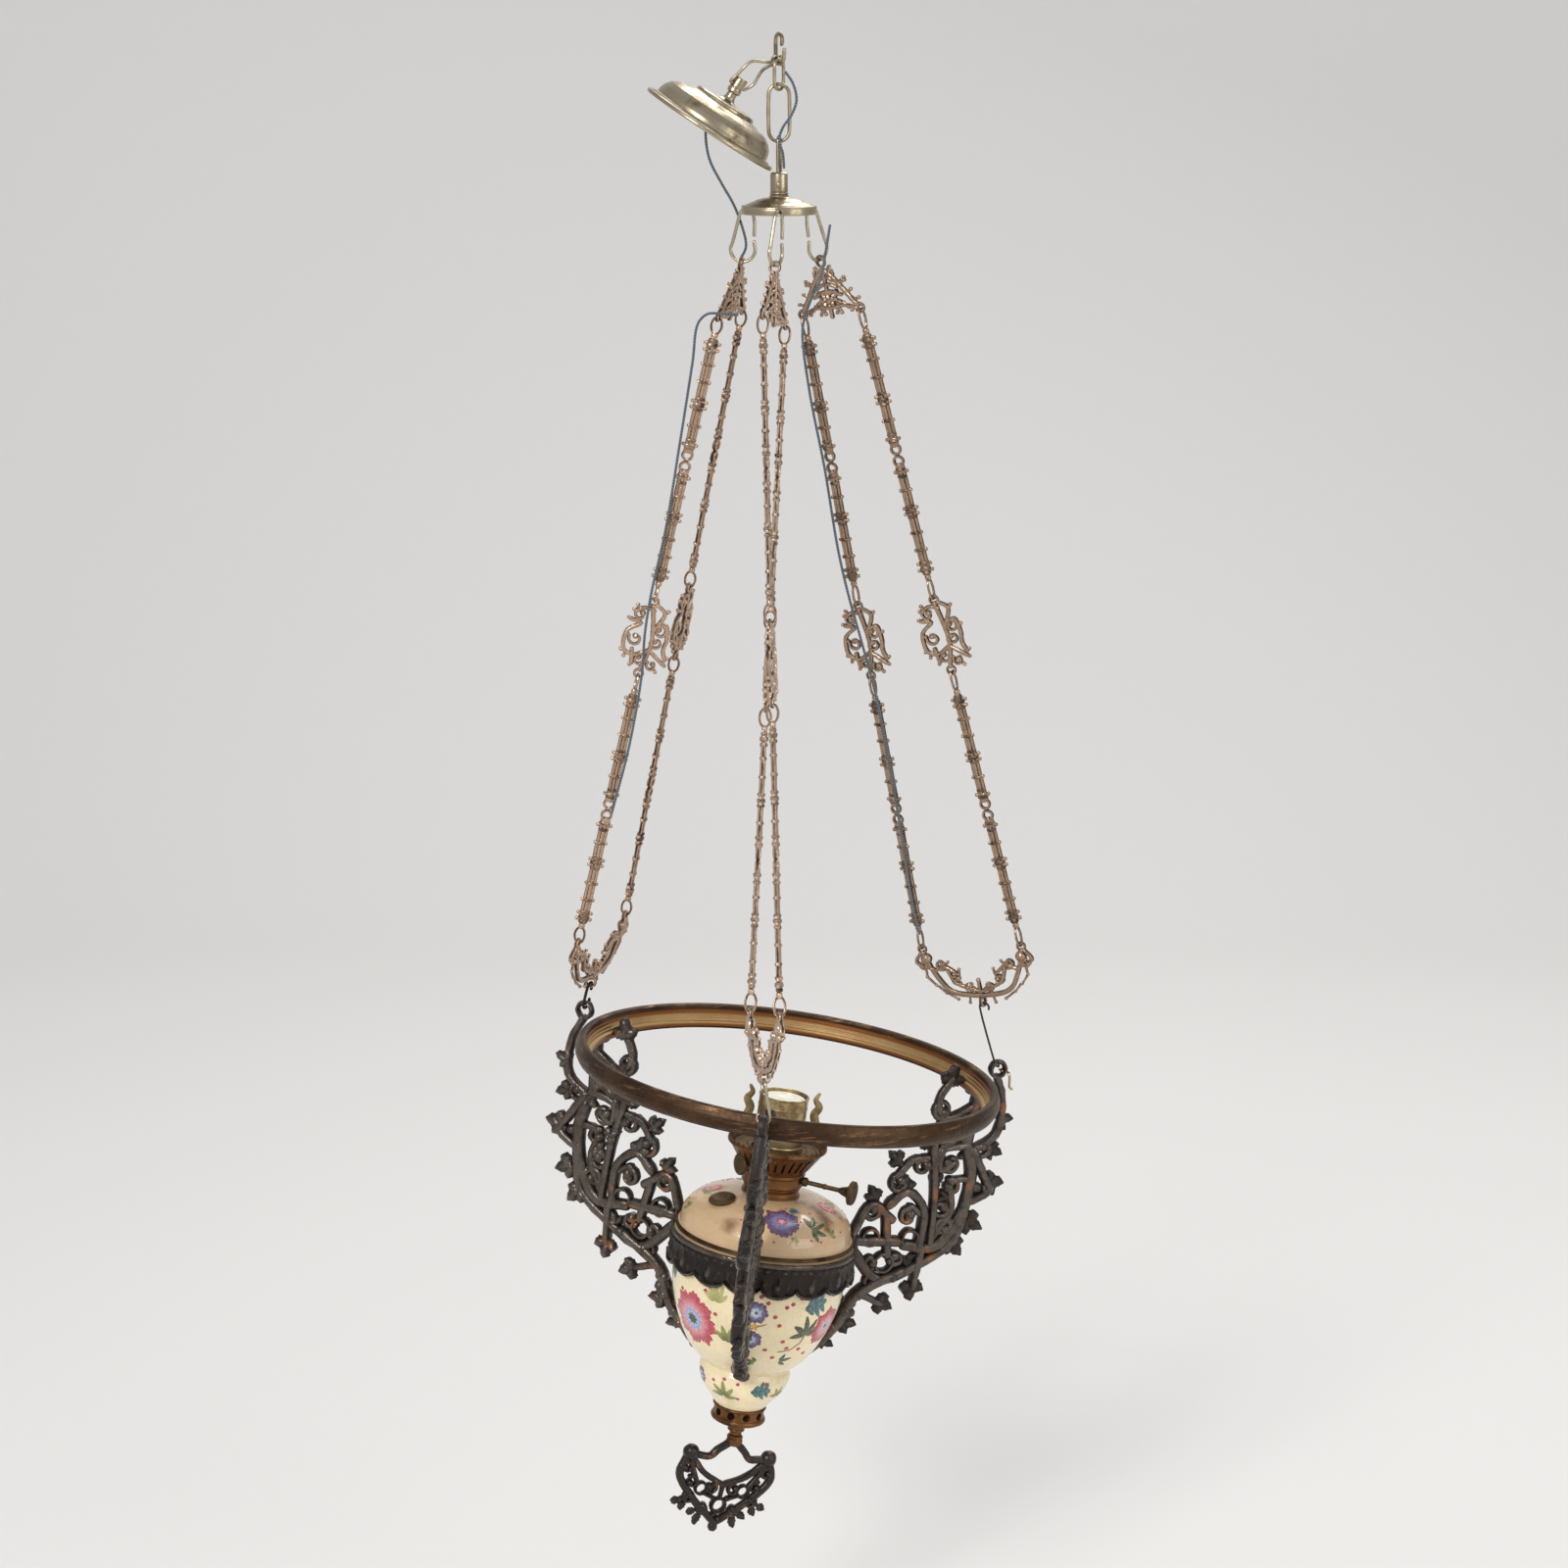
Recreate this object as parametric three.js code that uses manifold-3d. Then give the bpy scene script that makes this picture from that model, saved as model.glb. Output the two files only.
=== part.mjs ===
// A hanging oil lamp turned chandelier: hook and links, canopy, three-point cap, three double chains,
// shade ring, three cast arms, gallery band, painted vase, font, burner, pierced collar and pull handle.
// Millimetres, +Z up. The origin is where the ceiling hook bears on what it hangs from.
import * as THREE from 'three';
import { mergeVertices } from 'three/addons/utils/BufferGeometryUtils.js';
import Module from 'manifold-3d';

const wasm = await Module();
wasm.setup();

// Driving dimensions: clearances
const seatGap = 0.3;          // between pieces that rest on each other
const wireGap = 0.7;          // between two round wires that hang in one another
const pivotGap = 0.6;         // round the tie rod and the spindle where they pass through
const weld = 0.25;            // how far a link is let into the eye it is joined to

// Hook and links
const hook = { wire: 3.2, topBend: 5.2, lowBend: 6.6, length: 12, turn: 120 };
const upperLink = { wire: 2.8, width: 11, length: 23.7, turn: 50 };
const lowerLink = { wire: 3.0, width: 16.5, length: 45, turn: 0 };
const stemBail = { wire: 2.6, width: 8, turn: 75, height: 28.5, root: 3 };
const stem = { radius: 7.1, height: 17, screwRadius: 2.2, screwHead: 1.2 };
const cap = { radius: 30.5, height: 15.6, wall: 2, rimHeight: 7.4, holeRadius: 3.1 };

// Canopy, hung from the ceiling hook by its bail
const canopy = { radius: 59, depth: 24, wall: 1.4, ridge: 4.5, boss: 26, bossHeight: 2.4, neck: 4,
  neckLength: 9, collar: 5.6, collarLength: 14, bore: 2, lean: 33 };
const canopyRim = new THREE.Vector3(-56.4, 4, -74.6);     // centre of its open rim
const canopyBail = { wire: 2.6, bend: 3.5, aside: 3.0, below: 0.1, arch: 4, eyeLength: 1.6 };

// Cap hooks: long open ovals through the rim of the cap, drawn outwards by the chains
const capHook = { wire: 2.4, topWidth: 12, width: 20.5, length: 42.6, gapFrom: 20, gapTo: 25, play: 1.3 };

// Chains: where each starts on the cap, what its small links add to it, and how its castings are turned
const chains = [
  { name: 'left', hole: 150, hookTurn: 168, hookLean: 7, slack: 62, arm: 154,
    crownTurn: 70, yokeTurn: 68, faces: [8, 72] },
  { name: 'front', hole: 270, hookTurn: 240, hookLean: 9, slack: 67, arm: 264,
    crownTurn: 71, yokeTurn: 104, faces: [82, 86] },
  { name: 'right', hole: 30, hookTurn: 44, hookLean: 15, slack: 77, arm: 23,
    crownTurn: -29, yokeTurn: -28, faces: [-29, -24] },
];
const castThickness = 4.4;                 // of the chain castings
const eye = { hole: 2.5, width: 2.2, thickness: 3.2 };     // cast eyes on the chain pieces
const hookEye = { hole: 3.4, width: 2.2 };                 // and the larger ones that take a hook
const chainLink = { wire: 2.2, width: 8.4 };
const crown = { height: 43, halfWidth: 27 };
const bar = { length: 213, width: 6.4 };
const plateLength = 62;
const yoke = { halfWidth: 48, height: 50 };
const castingsLong = crown.height + 2 * bar.length + plateLength + yoke.height;
const sHook = { wire: 2.6, bend: 5 };
const tieWire = { wire: 1.8, bend: 4.4 };
const brokenHook = { wire: 2.4, bend: 4.4, lean: -15,
  tail: [[0.8, -2.2, -3], [1.4, -2.6, -8], [2.6, -2, -13], [5.4, -1, -15]] };

// Shade ring, and the pose of everything that hangs on the chains
const ring = { radius: 182, depth: 14.5, ledge: 3.5 };
const basketBelow = 280.2;    // middle of the ring below the length of a chain's castings
const basketCentre = new THREE.Vector3(7.3, -1.5, -(castingsLong + basketBelow));
const basketRoll = 8;         // degrees, right side low
const basketNod = -1.6;       // degrees, near side high

// Arms
const armThickness = { main: 10, leaf: 12, fine: 7, tail: 13 };
const armEye = { r: 200, z: 7, hole: 4.8, width: 4 };

// Gallery band, vase and font
const band = { radius: 79.5, wall: 4.3, top: -145, lip: 1.8, height: 24, scallops: 16, scallopDepth: 7 };
const vaseWall = 5;
const vaseLip = { height: 3, radius: 77.6 };
const font = { rimRadius: 76, rimHeight: 7, domeRadius: 73.8, domeHeight: 33, domePower: 2.6, wall: 2.6,
  mouth: 20, bodyDepth: 64 };
const filler = { radius: 11.3, height: 3.2, turn: -145, circle: 49.4, stub: 6.8, hole: 7.6 };

// Burner
const burner = { collarRadius: 25.2, collarHeight: 8.6, bowlRadius: 26.4, bowlHeight: 12, rimRadius: 42.6,
  rimHeight: 24.5, rimWidth: 2, wall: 1.6, tubeRadius: 21, tubeHeight: 75.5, tubeWall: 1.6 };
const spindle = { radius: 2, turn: -20, reach: 72, knobRadius: 10, knobWidth: 4.5 };
const sideCap = { radius: 9, turn: -148, width: 2.6 };
const insert = { depth: 2.4, height: 8 };

// Base collar, tie rod and pull handle
const base = { radius: 23.2, height: 13.5, holes: 8, holeRadius: 3.1, wall: 2, stemLength: 13,
  stemRadius: 5.2 };
const tieRod = { radius: 2.8, nut: 7, nutHeight: 4 };
const handle = { thickness: 7, ball: 6, halfWidth: 37, tilt: 6, turn: 22, bossRadius: 7.1, bossHeight: 9.6 };

// Flexes: cotton covered lead, round
const flexRadius = 1.1;

const rad = THREE.MathUtils.degToRad;
const V3 = (x, y, z) => new THREE.Vector3(x, y, z);

// Finishes
const finish = {
  brass: ['#9c8a62', 0.42, 0.85],
  agedBrass: ['#8d7f60', 0.5, 0.8],
  rustyIron: ['#8a6b5c', 0.72, 0.45],
  bronze: ['#6b4a33', 0.38, 0.85],
  copper: ['#9a5d3c', 0.45, 0.8],
  tarnish: ['#7d6238', 0.5, 0.75],
  glaze: ['#ece0bd', 0.18, 0],
  porcelain: ['#f1eee2', 0.3, 0],
  flex: ['#3b4147', 0.8, 0],
  steelWire: ['#4a443d', 0.5, 0.6],
};

// Turns a closed geometry into a solid for joining and cutting
function solid(geometry) {
  const plain = geometry.clone();
  plain.deleteAttribute('normal');
  plain.deleteAttribute('uv');
  const merged = mergeVertices(plain, 1e-4);
  const vertProperties = new Float32Array(merged.attributes.position.array);
  const triVerts = new Uint32Array(merged.index.array);
  return new wasm.Manifold(new wasm.Mesh({ numProp: 3, vertProperties, triVerts }));
}

// Gives the solid back as a geometry
function shell(body) {
  const mesh = body.getMesh();
  const geometry = new THREE.BufferGeometry();
  geometry.setAttribute('position', new THREE.BufferAttribute(new Float32Array(mesh.vertProperties), 3));
  geometry.setIndex(new THREE.BufferAttribute(new Uint32Array(mesh.triVerts), 1));
  geometry.computeVertexNormals();
  return geometry;
}

const join = (...pieces) => shell(pieces.flat().map(solid).reduce((whole, piece) => whole.add(piece)));
const cut = (piece, ...tools) => {
  const pieces = tools.flat().map(solid);
  return shell(pieces.reduce((whole, tool) => whole.subtract(tool), solid(piece)));
};

// Sweeps rings of points into one closed skin, with flat ends or closed on itself
function skin(rings, closed) {
  const sides = rings[0].length;
  const corners = rings.flat();
  const index = [];
  const last = closed ? rings.length : rings.length - 1;
  for (let i = 0; i < last; i += 1) {
    const here = i * sides;
    const next = ((i + 1) % rings.length) * sides;
    for (let j = 0; j < sides; j += 1) {
      const k = (j + 1) % sides;
      index.push(here + j, here + k, next + k);
      index.push(here + j, next + k, next + j);
    }
  }
  if (!closed) {
    const end = (rings.length - 1) * sides;
    for (let j = 1; j < sides - 1; j += 1) {
      index.push(0, j + 1, j);
      index.push(end, end + j, end + j + 1);
    }
  }
  const geometry = new THREE.BufferGeometry().setFromPoints(corners);
  geometry.setIndex(index);
  if (volume(geometry) < 0) {
    for (let t = 0; t < index.length; t += 3) {
      [index[t + 1], index[t + 2]] = [index[t + 2], index[t + 1]];
    }
    geometry.setIndex(index);
  }
  return geometry;
}

function volume(geometry) {
  const p = geometry.attributes.position;
  const at = (i) => V3().fromBufferAttribute(p, geometry.index.array[i]);
  let sum = 0;
  for (let t = 0; t < geometry.index.count; t += 3) {
    sum += at(t).dot(at(t + 1).cross(at(t + 2)));
  }
  return sum / 6;
}

// A flat cast stroke in the XZ plane, through hand-set points, tapering from one width to the other
function stroke(points, widths, thickness, steps = (points.length - 1) * 2) {
  const spline = new THREE.SplineCurve(points.map(([x, z]) => new THREE.Vector2(x, z)));
  const [from, to] = [widths].flat().length > 1 ? widths : [widths, widths];
  const rings = [];
  for (let i = 0; i <= steps; i += 1) {
    const t = i / steps;
    const at = spline.getPoint(t);
    const way = spline.getTangent(t);
    const half = (from + (to - from) * t) / 2;
    const side = new THREE.Vector2(-way.y, way.x).multiplyScalar(half);
    const y = thickness / 2;
    rings.push([
      V3(at.x + side.x, -y, at.y + side.y), V3(at.x - side.x, -y, at.y - side.y),
      V3(at.x - side.x, y, at.y - side.y), V3(at.x + side.x, y, at.y + side.y),
    ]);
  }
  return skin(rings, false);
}

// The same stroke on both sides of the centre line
const pair = (points, ...rest) => [
  stroke(points, ...rest),
  stroke(points.map(([x, z]) => [-x, z]), ...rest),
];

// A flat cast eye
function castEye(x, z, { hole, width, thickness = eye.thickness }, sides = 10) {
  const rings = [];
  for (let i = 0; i < sides; i += 1) {
    const a = ((i + 0.5) / sides) * Math.PI * 2;
    const ray = (r, y) => V3(x + Math.cos(a) * r, y, z + Math.sin(a) * r);
    const y = thickness / 2;
    rings.push([ray(hole, -y), ray(hole + width, -y), ray(hole + width, y), ray(hole, y)]);
  }
  return skin(rings, true);
}

// How far the centre of a bent wire stands above the flat edge of the eye it rests on
function seat(bend, diameter, gap = seatGap, half = eye.thickness / 2) {
  const inner = bend * 0.95 - diameter / 2;
  return diameter / 2 + gap + inner - Math.sqrt(inner * inner - half * half);
}

// A cast bead
const nub = (x, z, radius) => new THREE.OctahedronGeometry(radius, 0).translate(x, 0, z);

// A round wire along a smooth line of points
function wire(points, diameter, { sides = 6, steps = points.length * 2, closed = false } = {}) {
  const line = new THREE.CatmullRomCurve3(points, closed, 'centripetal');
  const frames = line.computeFrenetFrames(steps, closed);
  const rings = [];
  const count = closed ? steps : steps + 1;
  for (let i = 0; i < count; i += 1) {
    const at = line.getPointAt(i / steps);
    const ringPoints = [];
    for (let j = 0; j < sides; j += 1) {
      const a = (j / sides) * Math.PI * 2;
      const out = frames.normals[i].clone().multiplyScalar(Math.cos(a));
      out.addScaledVector(frames.binormals[i], Math.sin(a));
      ringPoints.push(at.clone().addScaledVector(out, diameter / 2));
    }
    rings.push(ringPoints);
  }
  return skin(rings, closed);
}

// An oval link in the XZ plane; length and width are of its centre line, its top at z = 0
function oval({ width, length, wire: diameter }, sides = 6, bend = 6) {
  const points = [];
  for (let i = 0; i <= bend; i += 1) {
    const a = (i / bend) * Math.PI;
    points.push(V3((Math.cos(a) * width) / 2, 0, ((Math.sin(a) - 1) * width) / 2));
  }
  for (let i = 0; i <= bend; i += 1) {
    const a = Math.PI + (i / bend) * Math.PI;
    points.push(V3((Math.cos(a) * width) / 2, 0, -length + ((Math.sin(a) + 1) * width) / 2));
  }
  return wireThrough(points, diameter, sides, true);
}

// A wire whose rings stand exactly at the given points
function wireThrough(points, diameter, sides = 6, closed = false) {
  const n = points.length;
  const phase = sides % 4 ? 0.5 : 0;
  const rings = [];
  let normal = null;
  for (let i = 0; i < n; i += 1) {
    const before = points[closed ? (i + n - 1) % n : Math.max(i - 1, 0)];
    const after = points[closed ? (i + 1) % n : Math.min(i + 1, n - 1)];
    const inWay = points[i].clone().sub(before).normalize();
    const outWay = after.clone().sub(points[i]).normalize();
    const way = inWay.add(outWay).normalize();
    if (!normal) {
      normal = Math.abs(way.y) < 0.9 ? V3(0, 1, 0) : V3(1, 0, 0);
    }
    normal = normal.clone().addScaledVector(way, -normal.dot(way)).normalize();
    const across = way.clone().cross(normal);
    const ringPoints = [];
    for (let j = 0; j < sides; j += 1) {
      const a = ((j + phase) / sides) * Math.PI * 2;
      ringPoints.push(points[i].clone()
        .addScaledVector(normal, Math.cos(a) * diameter / 2)
        .addScaledVector(across, Math.sin(a) * diameter / 2));
    }
    rings.push(ringPoints);
  }
  return skin(rings, closed);
}

// Points on an arc in the XZ plane, degrees from +X towards +Z
function arcPoints(x, z, radius, from, to, steps) {
  const points = [];
  for (let i = 0; i <= steps; i += 1) {
    const a = rad(from + ((to - from) * i) / steps);
    points.push(V3(x + Math.cos(a) * radius, 0, z + Math.sin(a) * radius));
  }
  return points;
}

// A turned piece from a closed outline of [radius, z] points
function turned(outline, segments = 24) {
  const points = outline.map(([r, z]) => new THREE.Vector2(r, z));
  const onAxis = outline[0][0] === 0;
  if (!onAxis) {
    points.push(points[0].clone());
  }
  const lathe = new THREE.LatheGeometry(points, segments).rotateX(Math.PI / 2);
  lathe.deleteAttribute('normal');
  lathe.deleteAttribute('uv');
  return orient(dropSlivers(mergeVertices(lathe, 1e-4)));
}

function orient(geometry) {
  if (volume(geometry) < 0) {
    const index = Array.from(geometry.index.array);
    for (let t = 0; t < index.length; t += 3) {
      [index[t + 1], index[t + 2]] = [index[t + 2], index[t + 1]];
    }
    geometry.setIndex(index);
  }
  return geometry;
}

function dropSlivers(geometry) {
  const index = Array.from(geometry.index.array);
  const kept = [];
  for (let t = 0; t < index.length; t += 3) {
    const [a, b, c] = index.slice(t, t + 3);
    if (a !== b && b !== c && a !== c) {
      kept.push(a, b, c);
    }
  }
  geometry.setIndex(kept);
  return geometry;
}

const disc = (radius, height, sides) => new THREE.CylinderGeometry(radius, radius, height, sides)
  .rotateX(Math.PI / 2);

function piece(name, geometry, [color, roughness, metalness]) {
  const material = new THREE.MeshStandardMaterial({ color, roughness, metalness });
  const mesh = new THREE.Mesh(geometry, material);
  mesh.name = name;
  return mesh;
}

// A group whose X is the width direction and whose -Z runs down the given way
function hung(origin, width, down) {
  const z = down.clone().negate().normalize();
  const x = width.clone().addScaledVector(z, -width.dot(z)).normalize();
  const y = z.clone().cross(x);
  const group = new THREE.Group();
  group.quaternion.setFromRotationMatrix(new THREE.Matrix4().makeBasis(x, y, z));
  group.position.copy(origin);
  return group;
}

const lamp = new THREE.Group();
lamp.name = 'hanging_lamp';
const Z = V3(0, 0, 1);
const around = (degrees, tilt = 0) => V3(Math.cos(rad(degrees)), Math.sin(rad(degrees)), tilt);

// Heights down the middle, each from the piece above
const topCurl = -(hook.topBend - hook.wire / 2);
const lowCurl = topCurl - hook.length;
const hookFloor = lowCurl - hook.lowBend;
const upperLinkTop = hookFloor + (hook.wire + upperLink.wire) / 2 + wireGap;
const upperLinkFoot = upperLinkTop - upperLink.length;
const lowerLinkTop = upperLinkFoot + (upperLink.wire + lowerLink.wire) / 2 + 2 * wireGap;
const lowerLinkFoot = lowerLinkTop - lowerLink.length;
const bailTop = lowerLinkFoot + (lowerLink.wire + stemBail.wire) / 2 + wireGap;
const stemTop = bailTop - stemBail.height;
const stemFoot = stemTop - stem.height;
const capTop = stemFoot - seatGap;
const capFoot = capTop - cap.height;
const capHole = capFoot + cap.rimHeight / 2;

function topHardware() {
  const group = new THREE.Group();
  const hookLine = [
    ...arcPoints(0, topCurl, hook.topBend, 215, 0, 6),
    ...arcPoints(hook.topBend - hook.lowBend, lowCurl, hook.lowBend, 0, -180, 6),
    V3(hook.topBend - 2 * hook.lowBend - 0.6, 0, lowCurl + 5),
  ];
  const ceilingHook = piece('ceiling_hook', wireThrough(hookLine, hook.wire, 8), finish.agedBrass);
  ceilingHook.rotation.z = rad(hook.turn);
  const upper = piece('upper_link', oval(upperLink), finish.agedBrass);
  upper.rotation.z = rad(upperLink.turn);
  upper.position.z = upperLinkTop;
  const lower = piece('lower_link', oval(lowerLink), finish.agedBrass);
  lower.rotation.z = rad(lowerLink.turn);
  lower.position.z = lowerLinkTop;
  const legs = [
    V3(stemBail.width / 2, 0, -stemBail.height - stemBail.root),
    ...arcPoints(0, -stemBail.width / 2, stemBail.width / 2, 0, 180, 6),
    V3(-stemBail.width / 2, 0, -stemBail.height - stemBail.root),
  ];
  const bail = piece('stem_bail', wireThrough(legs, stemBail.wire, 8), finish.agedBrass);
  bail.rotation.z = rad(stemBail.turn);
  bail.position.z = bailTop;
  return group.add(ceilingHook, upper, lower, bail, stemSocket(), spiderCap());
}

function stemSocket() {
  const legHole = stemBail.wire / 2 + seatGap;
  const holes = [-1, 1].map((side) => disc(legHole, 2 * (stemBail.root + seatGap), 8)
    .translate((side * stemBail.width) / 2, 0, 0).rotateZ(rad(stemBail.turn)));
  const body = disc(stem.radius, stem.height, 16).translate(0, 0, -stem.height / 2);
  const head = disc(stem.screwRadius, stem.radius + stem.screwHead, 10).rotateX(Math.PI / 2)
    .translate(0, -(stem.radius + stem.screwHead) / 2, -stem.height * 0.55);
  const socket = piece('stem_socket', cut(join(body, head), holes), finish.agedBrass);
  socket.position.z = stemTop;
  return socket;
}

function spiderCap() {
  const { radius, height, wall, rimHeight } = cap;
  const shoulder = -height + rimHeight;
  const outline = [
    [0, 0], [7.4, 0], [8.6, -2.6], [20, -5], [26.6, shoulder + 0.6], [radius, shoulder], [radius, -height],
    [radius - wall, -height], [radius - wall, shoulder - wall], [18, -7.4], [0, -6],
  ];
  const holes = chains.map(({ hole }) => disc(cap.holeRadius, 4 * wall, 8).rotateX(Math.PI / 2)
    .rotateZ(Math.PI / 2).translate(radius - wall / 2, 0, -height + rimHeight / 2).rotateZ(rad(hole)));
  const body = piece('spider_cap', cut(turned(outline, 20), holes), finish.agedBrass);
  body.position.z = capTop;
  return body;
}

// The canopy lies over on the stem; its bail goes through the lower curl of the ceiling hook
function canopyGroup() {
  const { radius, depth, wall, ridge, boss, bossHeight } = canopy;
  const { neck, neckLength, collar, collarLength, bore } = canopy;
  const neckTop = depth + bossHeight + neckLength;
  const outline = [
    [radius, 0], [radius, 1.4], [radius - ridge, 2.8], [radius - 12, 14], [radius - 22, depth - 3.5],
    [boss, depth - 0.6], [boss, depth + bossHeight], [neck + 4, depth + bossHeight],
    [neck, depth + bossHeight + 4], [neck, neckTop], [collar, neckTop], [collar, neckTop + collarLength],
    [bore, neckTop + collarLength], [bore, depth - wall], [boss, depth - wall - 1.2],
    [radius - 22, depth - 3.5 - wall], [radius - 12 - wall, 13.4], [radius - ridge - 2, 1.4], [radius - 1, 0],
  ];
  const crossHole = collarLength / 2 + neckTop;
  const group = new THREE.Group();
  const axis = V3(Math.sin(rad(canopy.lean)), 0, Math.cos(rad(canopy.lean)));
  const across = around(hook.turn - 90);
  across.addScaledVector(axis, -across.dot(axis)).normalize();
  const holeRadius = canopyBail.wire / 2 + wireGap;
  const hole = disc(holeRadius, 3 * collar, 8).rotateX(Math.PI / 2).rotateZ(Math.PI / 2)
    .translate(0, 0, crossHole);
  const dish = piece('canopy', cut(turned(outline, 18), hole), finish.agedBrass);
  const turn = new THREE.Matrix4().makeBasis(across, axis.clone().cross(across), axis);
  dish.quaternion.setFromRotationMatrix(turn);
  dish.position.copy(canopyRim);
  const cross = canopyRim.clone().addScaledVector(axis, crossHole);
  const curl = V3(0, 0, lowCurl);
  const inHook = around(hook.turn);
  const curlCentre = curl.clone().addScaledVector(inHook, hook.topBend - hook.lowBend);
  const apex = curlCentre.clone().addScaledVector(inHook, canopyBail.aside)
    .addScaledVector(Z, -canopyBail.below);
  const pull = cross.clone().sub(apex).normalize();
  const over = around(hook.turn - 90);
  const clearOfHook = pull.clone().addScaledVector(over, -pull.dot(over)).normalize();
  const reach = collar + canopyBail.wire / 2 + wireGap;
  const inHookAt = (t, side) => apex.clone().addScaledVector(clearOfHook, t).addScaledVector(over, side);
  const onPull = (t, side) => cross.clone().addScaledVector(pull, t).addScaledVector(across, side * reach);
  const leg = (side) => [
    inHookAt(canopyBail.bend * 0.35, side * canopyBail.bend * 0.75),
    inHookAt(canopyBail.bend, side * canopyBail.bend),
    inHookAt(canopyBail.bend * 2, side * canopyBail.bend * 1.1),
    onPull(-20, side * 0.9).addScaledVector(Z, canopyBail.arch),
    onPull(-8, side * 1.2),
    onPull(-1.8, side * 1.12),
    onPull(0, side),
    cross.clone().addScaledVector(across, side * (reach - 1.4 - canopyBail.eyeLength)),
  ];
  const line = [...leg(-1).reverse(), apex, ...leg(1)];
  const bail = piece('canopy_bail', wireThrough(line, canopyBail.wire, 8), finish.agedBrass);
  return group.add(bail, dish);
}

// One open oval through each hole in the rim of the cap, leaning outwards
const hookFoot = {};
function capHooks() {
  const group = new THREE.Group();
  for (const { name, hole, hookTurn, hookLean } of chains) {
    const out = around(hookTurn);
    const down = out.clone().multiplyScalar(Math.sin(rad(hookLean)))
      .addScaledVector(Z, -Math.cos(rad(hookLean)));
    const { topWidth, width, length, wire: diameter, gapFrom, gapTo, play } = capHook;
    const rest = seat(topWidth / 2, diameter, play, cap.wall / 2) - cap.holeRadius;
    const origin = around(hole).multiplyScalar(cap.radius - cap.wall / 2).addScaledVector(Z, capHole + rest);
    const inner = (depth) => -(topWidth + ((width - topWidth) * depth) / length) / 2;
    const line = [
      V3(inner(gapFrom), 0, -gapFrom),
      ...arcPoints(0, -topWidth / 2, topWidth / 2, 180, 0, 4),
      V3(width / 2, 0, -length + width),
      ...arcPoints(0, -length + width / 2, width / 2, 0, -180, 6),
      V3(inner(gapTo), 0, -gapTo),
    ];
    const frame = hung(origin, out, down);
    frame.add(piece(`cap_hook_${name}`, wireThrough(line, diameter, 6), finish.brass));
    hookFoot[name] = origin.clone().addScaledVector(down, length);
    group.add(frame);
  }
  return group;
}

// Triangular crown casting: top eye, stepped scrolls, flower and the two eyes of the strands
function crownCasting(eyeTurn) {
  const { height, halfWidth } = crown;
  const t = castThickness;
  const top = hookEye.hole - seat(capHook.width / 2, capHook.wire, wireGap);
  return join(
    castEye(0, -top, hookEye).rotateZ(rad(eyeTurn)),
    stroke([[0, -top - hookEye.hole - 1], [0, -height + 10]], [3.6, 3], t, 1),
    pair([[1, -9], [9, -17], [18, -30], [halfWidth - 1, -height + 2]], [3.4, 3], t, 3),
    pair([[11, -20], [18, -19]], [3, 3.6], t, 1),
    pair([[1, -29], [9, -27], [4, -36]], [3, 2.6], t, 2),
    stroke([[-halfWidth + 2, -height], [0, -height + 3], [halfWidth - 2, -height]], 3.4, t, 2),
    castEye(-halfWidth, -height, eye, 6),
    castEye(halfWidth, -height, eye, 6),
    nub(0, -height + 8, 5.4),
    pair([[11, -height + 2], [11, -height - 5]], [3, 3.6], t, 1),
    stroke([[0, -height + 3], [0, -height - 6]], [3, 4], t, 1),
  );
}

// Scrolled plate half way down each strand
function plateCasting() {
  const t = castThickness;
  return join(
    castEye(0, 0, eye, 6),
    castEye(0, -plateLength, eye, 6),
    stroke([[0, -3], [4, -24], [5, -38], [0, -plateLength + 3]], [3.2, 3], t, 3),
    stroke([[3, -2], [11, -8], [4, -25]], [2.8, 3.4], t, 3),
    stroke([[-13, -9], [2, -7]], [3.4, 2.6], t, 1),
    stroke([[-16, -17], [-7, -19], [-17, -27], [-17, -43], [4, -41]], [2.8, 3], t, 5),
    stroke([[-10, -42], [-8, -54]], [3, 3.6], t, 1),
    stroke([[4, -22], [14, -18], [17, -30], [19, -45]], [2.8, 3.4], t, 4),
    stroke([[4, -41], [18, -49]], [2.8, 3.4], t, 1),
  );
}

// Crescent yoke that gathers two strands into one lug
function yokeCasting() {
  const { halfWidth: w, height: h } = yoke;
  const t = castThickness;
  const lug = castEye(0, 0, hookEye).rotateZ(Math.PI / 2).translate(0, 0, -h);
  return join(
    castEye(-w, 0, eye, 6),
    castEye(w, 0, eye, 6),
    nub(-w + 2, -9, 5.4),
    nub(w - 2, -9, 5.4),
    pair([[w, -3], [w - 7, -22], [w - 20, -40], [0, -h + 5]], [3, 4.2], t, 4),
    pair([[w + 2, -3], [w + 8, -12], [w - 7, -19]], [2.4, 3], t, 3),
    pair([[w - 7, -21], [w - 18, -17], [w - 29, -24]], [2.8, 3.2], t, 1),
    pair([[w - 20, -19], [w - 26, -32], [0, -41]], [2.6, 3], t, 3),
    stroke([[0, -34], [0, -h + 3]], 3, t, 1),
    lug,
  );
}

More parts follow.
